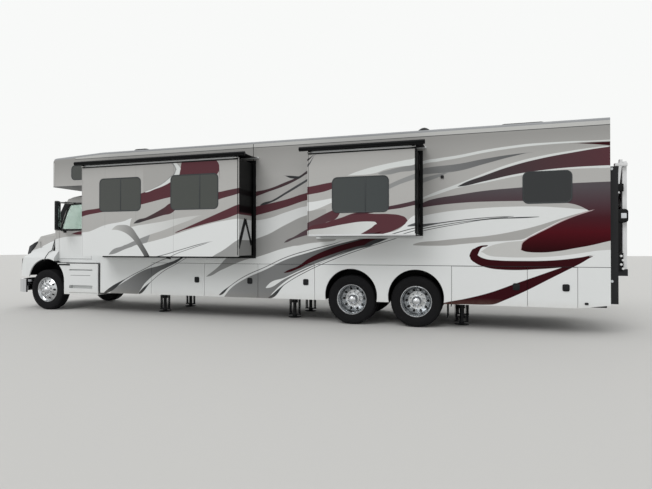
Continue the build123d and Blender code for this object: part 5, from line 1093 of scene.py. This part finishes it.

# Cab: window frames, pillar covers, visor, marker lamps, seams, headlamps and the black liner over each
# wheel, part real liner and part painted shade
cab = {
    # half width of its side, as (height, half width)
    "side": [(1.19, 1.045), (1.70, 1.045), (2.00, 1.030), (2.45, 0.985), (2.85, 0.900), (2.95, 0.700)],
    # round the door's pane, as (station, height), and how far its corners are bent
    "doorWindow": [(0.305, 2.025), (0.490, 2.650), (1.190, 2.665), (1.190, 2.025)], "bend": 0.055,
    # the window frame's section, as (how far out from the pane's edge, how far out from the cab's side)
    "frame": [(-0.006, -0.006), (-0.008, 0.010), (0.006, 0.017), (0.030, 0.017), (0.036, 0.010),
              (0.036, -0.006)],
    # the cover of the pillar before the door, which leans back by this much for each metre up
    "pillar": {"station": 0.175, "lean": 0.338, "heights": (2.030, 2.720), "width": 0.140, "thick": 0.024},
    # the seam behind the hood, as (station, distance out, height)
    "seam": [(0.047, 0.770, 1.962), (0.047, 0.935, 1.865), (0.047, 1.012, 1.655), (0.047, 1.062, 1.500),
             (-0.038, 1.082, 1.442), (-0.038, 1.188, 1.312), (-0.038, 1.200, 1.262)], "seamRadius": 0.009,
    # a short moulding behind the wheel, the line under the door, and a black panel in the gap behind the
    # steps,
    # as painted shade in that gap: (stations, distances out, heights, axis, corner, edge)
    "strips": [((0.360, 0.740), (1.188, 1.204), (1.125, 1.160), "x", 0.006, 0.003),
               ((0.630, 1.600), (1.182, 1.192), (1.170, 1.184), "x", 0.003, 0.002),
               ((1.590, 1.728), (0.700, 1.150), (0.450, 1.175), "z", 0.010, 0.004)],
    "markers": (-0.62, -0.31, 0, 0.31, 0.62),
}
# The pod on each fender and the lens in its side: outlines as (station, height), and levels as (distance out,
# share of size)
headlamp = {
    "pod": [(-0.400, 1.500), (-0.430, 1.735), (-0.506, 1.750), (-0.640, 1.700), (-0.765, 1.622),
            (-0.790, 1.500), (-0.780, 1.400), (-0.800, 1.290), (-0.720, 1.330), (-0.600, 1.400)],
    "podLevels": [(0.600, 1.0), (0.900, 1.0), (0.940, 0.985), (0.962, 0.955), (0.972, 0.910)],
    "lens": [(-0.506, 1.735), (-0.631, 1.682), (-0.792, 1.604), (-0.846, 1.425), (-0.850, 1.270),
             (-0.790, 1.310), (-0.742, 1.440), (-0.603, 1.566), (-0.506, 1.690)],
    "lensLevels": [(0.600, 0.99), (0.700, 1.0), (0.966, 1.0), (0.974, 0.98), (0.978, 0.93)],
    "bend": 0.018,
}
# A black liner over each wheel, partly real and partly painted shade in the wheel well: station, height of
# its centre, radius, first angle and sides of its band, foot and sides of its inner plate
wheelWellLinersAndShade = [(0.0, 0.730, 0.548, 14, (0.565, 1.168), 0.670, (0.562, 0.568)),
          *[(s, 0.596, 0.533, -10, (0.602, 1.268), 0.500, (0.598, 0.604)) for s in (7.910, 9.210)]]


def sideOf(height):
    return np.interp(height, *zip(*cab["side"]))


# The middle and half size of the door's window
windowMiddle = np.array([(min(v) + max(v)) / 2 for v in zip(*cab["doorWindow"])])
windowHalf = np.array([(max(v) - min(v)) / 2 for v in zip(*cab["doorWindow"])])
for low, side in (("left", 1), ("right", -1)):
    loops = []
    for outset, rise in cab["frame"]:
        # P(section, turn): the window's outline, grown from its middle, on the cab's slanting side
        grown = windowMiddle + (np.array(cab["doorWindow"]) - windowMiddle) * (1 + outset / windowHalf)
        corners = [(station, 0, height) for station, height in grown]
        loop = bentPath([*corners, *corners[:2]], cab["bend"])[1:-1]
        loops.append(np.column_stack([along(loop[:, 0]), side * (sideOf(loop[:, 2]) + rise), loop[:, 2]]))
    frameShell = (np.array(loops), "ring")
    buildPiece(f"doorWindowFrame.{low}", [frameShell], blackPowder, f"cab_door_{low}")
    pillar = cab["pillar"]
    foot, head = pillar["heights"]
    line = [(along(pillar["station"] + pillar["lean"] * (z - foot)), side * (sideOf(z) + 0.001), z)
            for z in np.linspace(foot, head, 9)]
    seam = bentPath([(along(station), side * reach, height) for station, reach, height in cab["seam"]], 0.02)
    shells = [carried(line, roundedOutline(pillar["width"], pillar["thick"], 0.008), (0, side, 0)),
              carried(seam, circle(cab["seamRadius"], 10))]
    shells += [blockAt(stations, (side * near, side * far), heights, *shape)
               for stations, (near, far), heights, *shape in cab["strips"]]
    buildPiece(f"cabSideTrimAndShade.{low}", shells, blackPowder, "root")
    # P(side, turn): a band over each wheel, and the half-round plate that closes it inwards, both black,
    # partly as painted shade in the wheel well
    shells = []
    for station, centre, radius, first, bandSides, foot, plateSides in wheelWellLinersAndShade:
        x = frontAxleX - station
        turn = np.radians(np.linspace(first, 180 - first, 40))
        outline = [np.stack([r * np.cos(turn), r * np.sin(turn)], axis=1) for r in (radius, radius - 0.005)]
        band = np.concatenate([outline[0], outline[1][::-1]])
        turn = np.linspace(0, np.pi, 30)
        arc = radius * np.stack([np.cos(turn), np.sin(turn)], axis=1)
        plate = np.concatenate([[(radius, foot - centre)], arc, [(-radius, foot - centre)]])
        for form, reach in ((band, bandSides), (plate, plateSides)):
            rows = [np.column_stack([x + form[:, 0], np.full(len(form), side * y), centre + form[:, 1]])
                    for y in reach]
            shells.append((np.array(rows), "tube"))
    buildPiece(f"wheelLinersAndShade.{low}", shells, blackPowder, "root")
    # P(level, turn): a side outline carried across, drawn in towards its outer face
    for part, material, slot in (("pod", sidePaint, "body_paint"), ("lens", lampLens, "lamp_lens")):
        corners = [(station, 0, height) for station, height in headlamp[part]]
        loop = bentPath([*corners, *corners[:2]], headlamp["bend"])[1:-1]
        middle = loop.mean(axis=0)
        rows = []
        for y, share in headlamp[f"{part}Levels"]:
            drawn = middle + (loop - middle) * share
            rows.append(np.column_stack([along(drawn[:, 0]), np.full(len(loop), side * y), drawn[:, 2]]))
        buildPiece(f"headlamp{part.title()}.{low}", [(np.array(rows), "tube")], material, "hood")
visor = [blockAt((0.300, 0.430), (-0.800, 0.800), (2.785, 2.825), "y", 0.018, 0.010)]
buildPiece("windshieldVisor", visor, blackPowder, "root")
markers = [blockAt((0.520, 0.610), (y - 0.030, y + 0.030), (2.820, 2.880), "x", 0.018, 0.012)
           for y in cab["markers"]]
buildPiece("cabMarkerLamps", markers, amberLens, "root")
# Two small dark fittings on the left wall: one high behind the short slide, one low in the skirt
fittings = [blockAt((9.690, 9.750), (1.273, 1.300), (2.890, 2.950), "y", 0.014, 0.006),
            blockAt((12.170, 12.230), (1.273, 1.292), (0.550, 0.590), "y", 0.012, 0.005)]
buildPiece("wallFittings", fittings, darkPlastic, "root")
print("cab and fittings done")

# The photograph's camera: where it stands in metres, its aim in degrees, and its focal length in pixels
view = {"place": (-4.379, 10.735, 1.566), "yaw": 16.8, "pitch": 0.36, "focalPixels": 480, "widthPixels": 652,
        "sensor": 36}
cameraData = bpy.data.cameras.new("photoCamera")
cameraData.sensor_width = view["sensor"]
cameraData.lens = view["sensor"] * view["focalPixels"] / view["widthPixels"]
cameraObject = bpy.data.objects.new("photoCamera", cameraData)
bpy.context.scene.collection.objects.link(cameraObject)
cameraObject.location = view["place"]
yaw, pitch = math.radians(view["yaw"]), math.radians(view["pitch"])
gaze = Vector((math.sin(yaw) * math.cos(pitch), -math.cos(yaw) * math.cos(pitch), math.sin(pitch)))
cameraObject.rotation_mode = "QUATERNION"
cameraObject.rotation_quaternion = gaze.to_track_quat("-Z", "Y")
cameraData.clip_end = 400
bpy.context.scene.camera = cameraObject

# The floor is matt painted board: pale and flat, so that it shows the shadow and nothing else
floor = {"half": 90, "colour": "#C9C8C6"}
half = floor["half"]
floorMesh = bpy.data.meshes.new("studioFloor")
corners = [(-half, -half, 0), (half, -half, 0), (half, half, 0), (-half, half, 0)]
floorMesh.from_pydata(corners, [], [(0, 1, 2, 3)])
floorObject = bpy.data.objects.new("studioFloor", floorMesh)
bpy.context.scene.collection.objects.link(floorObject)
floorMaterial, _, floorShader, _ = startMaterial("paleStudioFloor", Roughness=0.9)
floorShader.inputs["Base Color"].default_value = hexColor(floor["colour"])
floorMesh.materials.append(floorMaterial)

# A soft even light from all round. What the camera, a gloss or a pane sees of it is a little brighter.
soft = {"colour": "#ECEDEC", "strength": 0.92, "seen": 1.12}
world = bpy.data.worlds.new("softStudio")
bpy.context.scene.world = world
world.use_nodes = True
worldTree = world.node_tree
background = worldTree.nodes["Background"]
background.inputs["Color"].default_value = hexColor(soft["colour"])
ray = addNode(worldTree, "LightPath").outputs
seen = ray["Is Camera Ray"]
for kind in ("Is Glossy Ray", "Is Transmission Ray"):
    seen = addNode(worldTree, "Math", {"operation": "MAXIMUM"}, {0: seen, 1: ray[kind]}).outputs[0]
strength = addNode(worldTree, "MapRange", inputs={0: seen, 3: soft["strength"], 4: soft["seen"]}).outputs[0]
worldTree.links.new(strength, background.inputs["Strength"])

key = {"power": 1.1, "spread": 35, "turn": (48, 0, 160)}
keyData = bpy.data.lights.new("softKey", "SUN")
keyData.energy = key["power"]
keyData.angle = math.radians(key["spread"])
keyObject = bpy.data.objects.new("softKey", keyData)
keyObject.rotation_euler = tuple(math.radians(a) for a in key["turn"])
bpy.context.scene.collection.objects.link(keyObject)
bpy.context.scene.view_settings.view_transform = "Standard"
print("camera and light done")
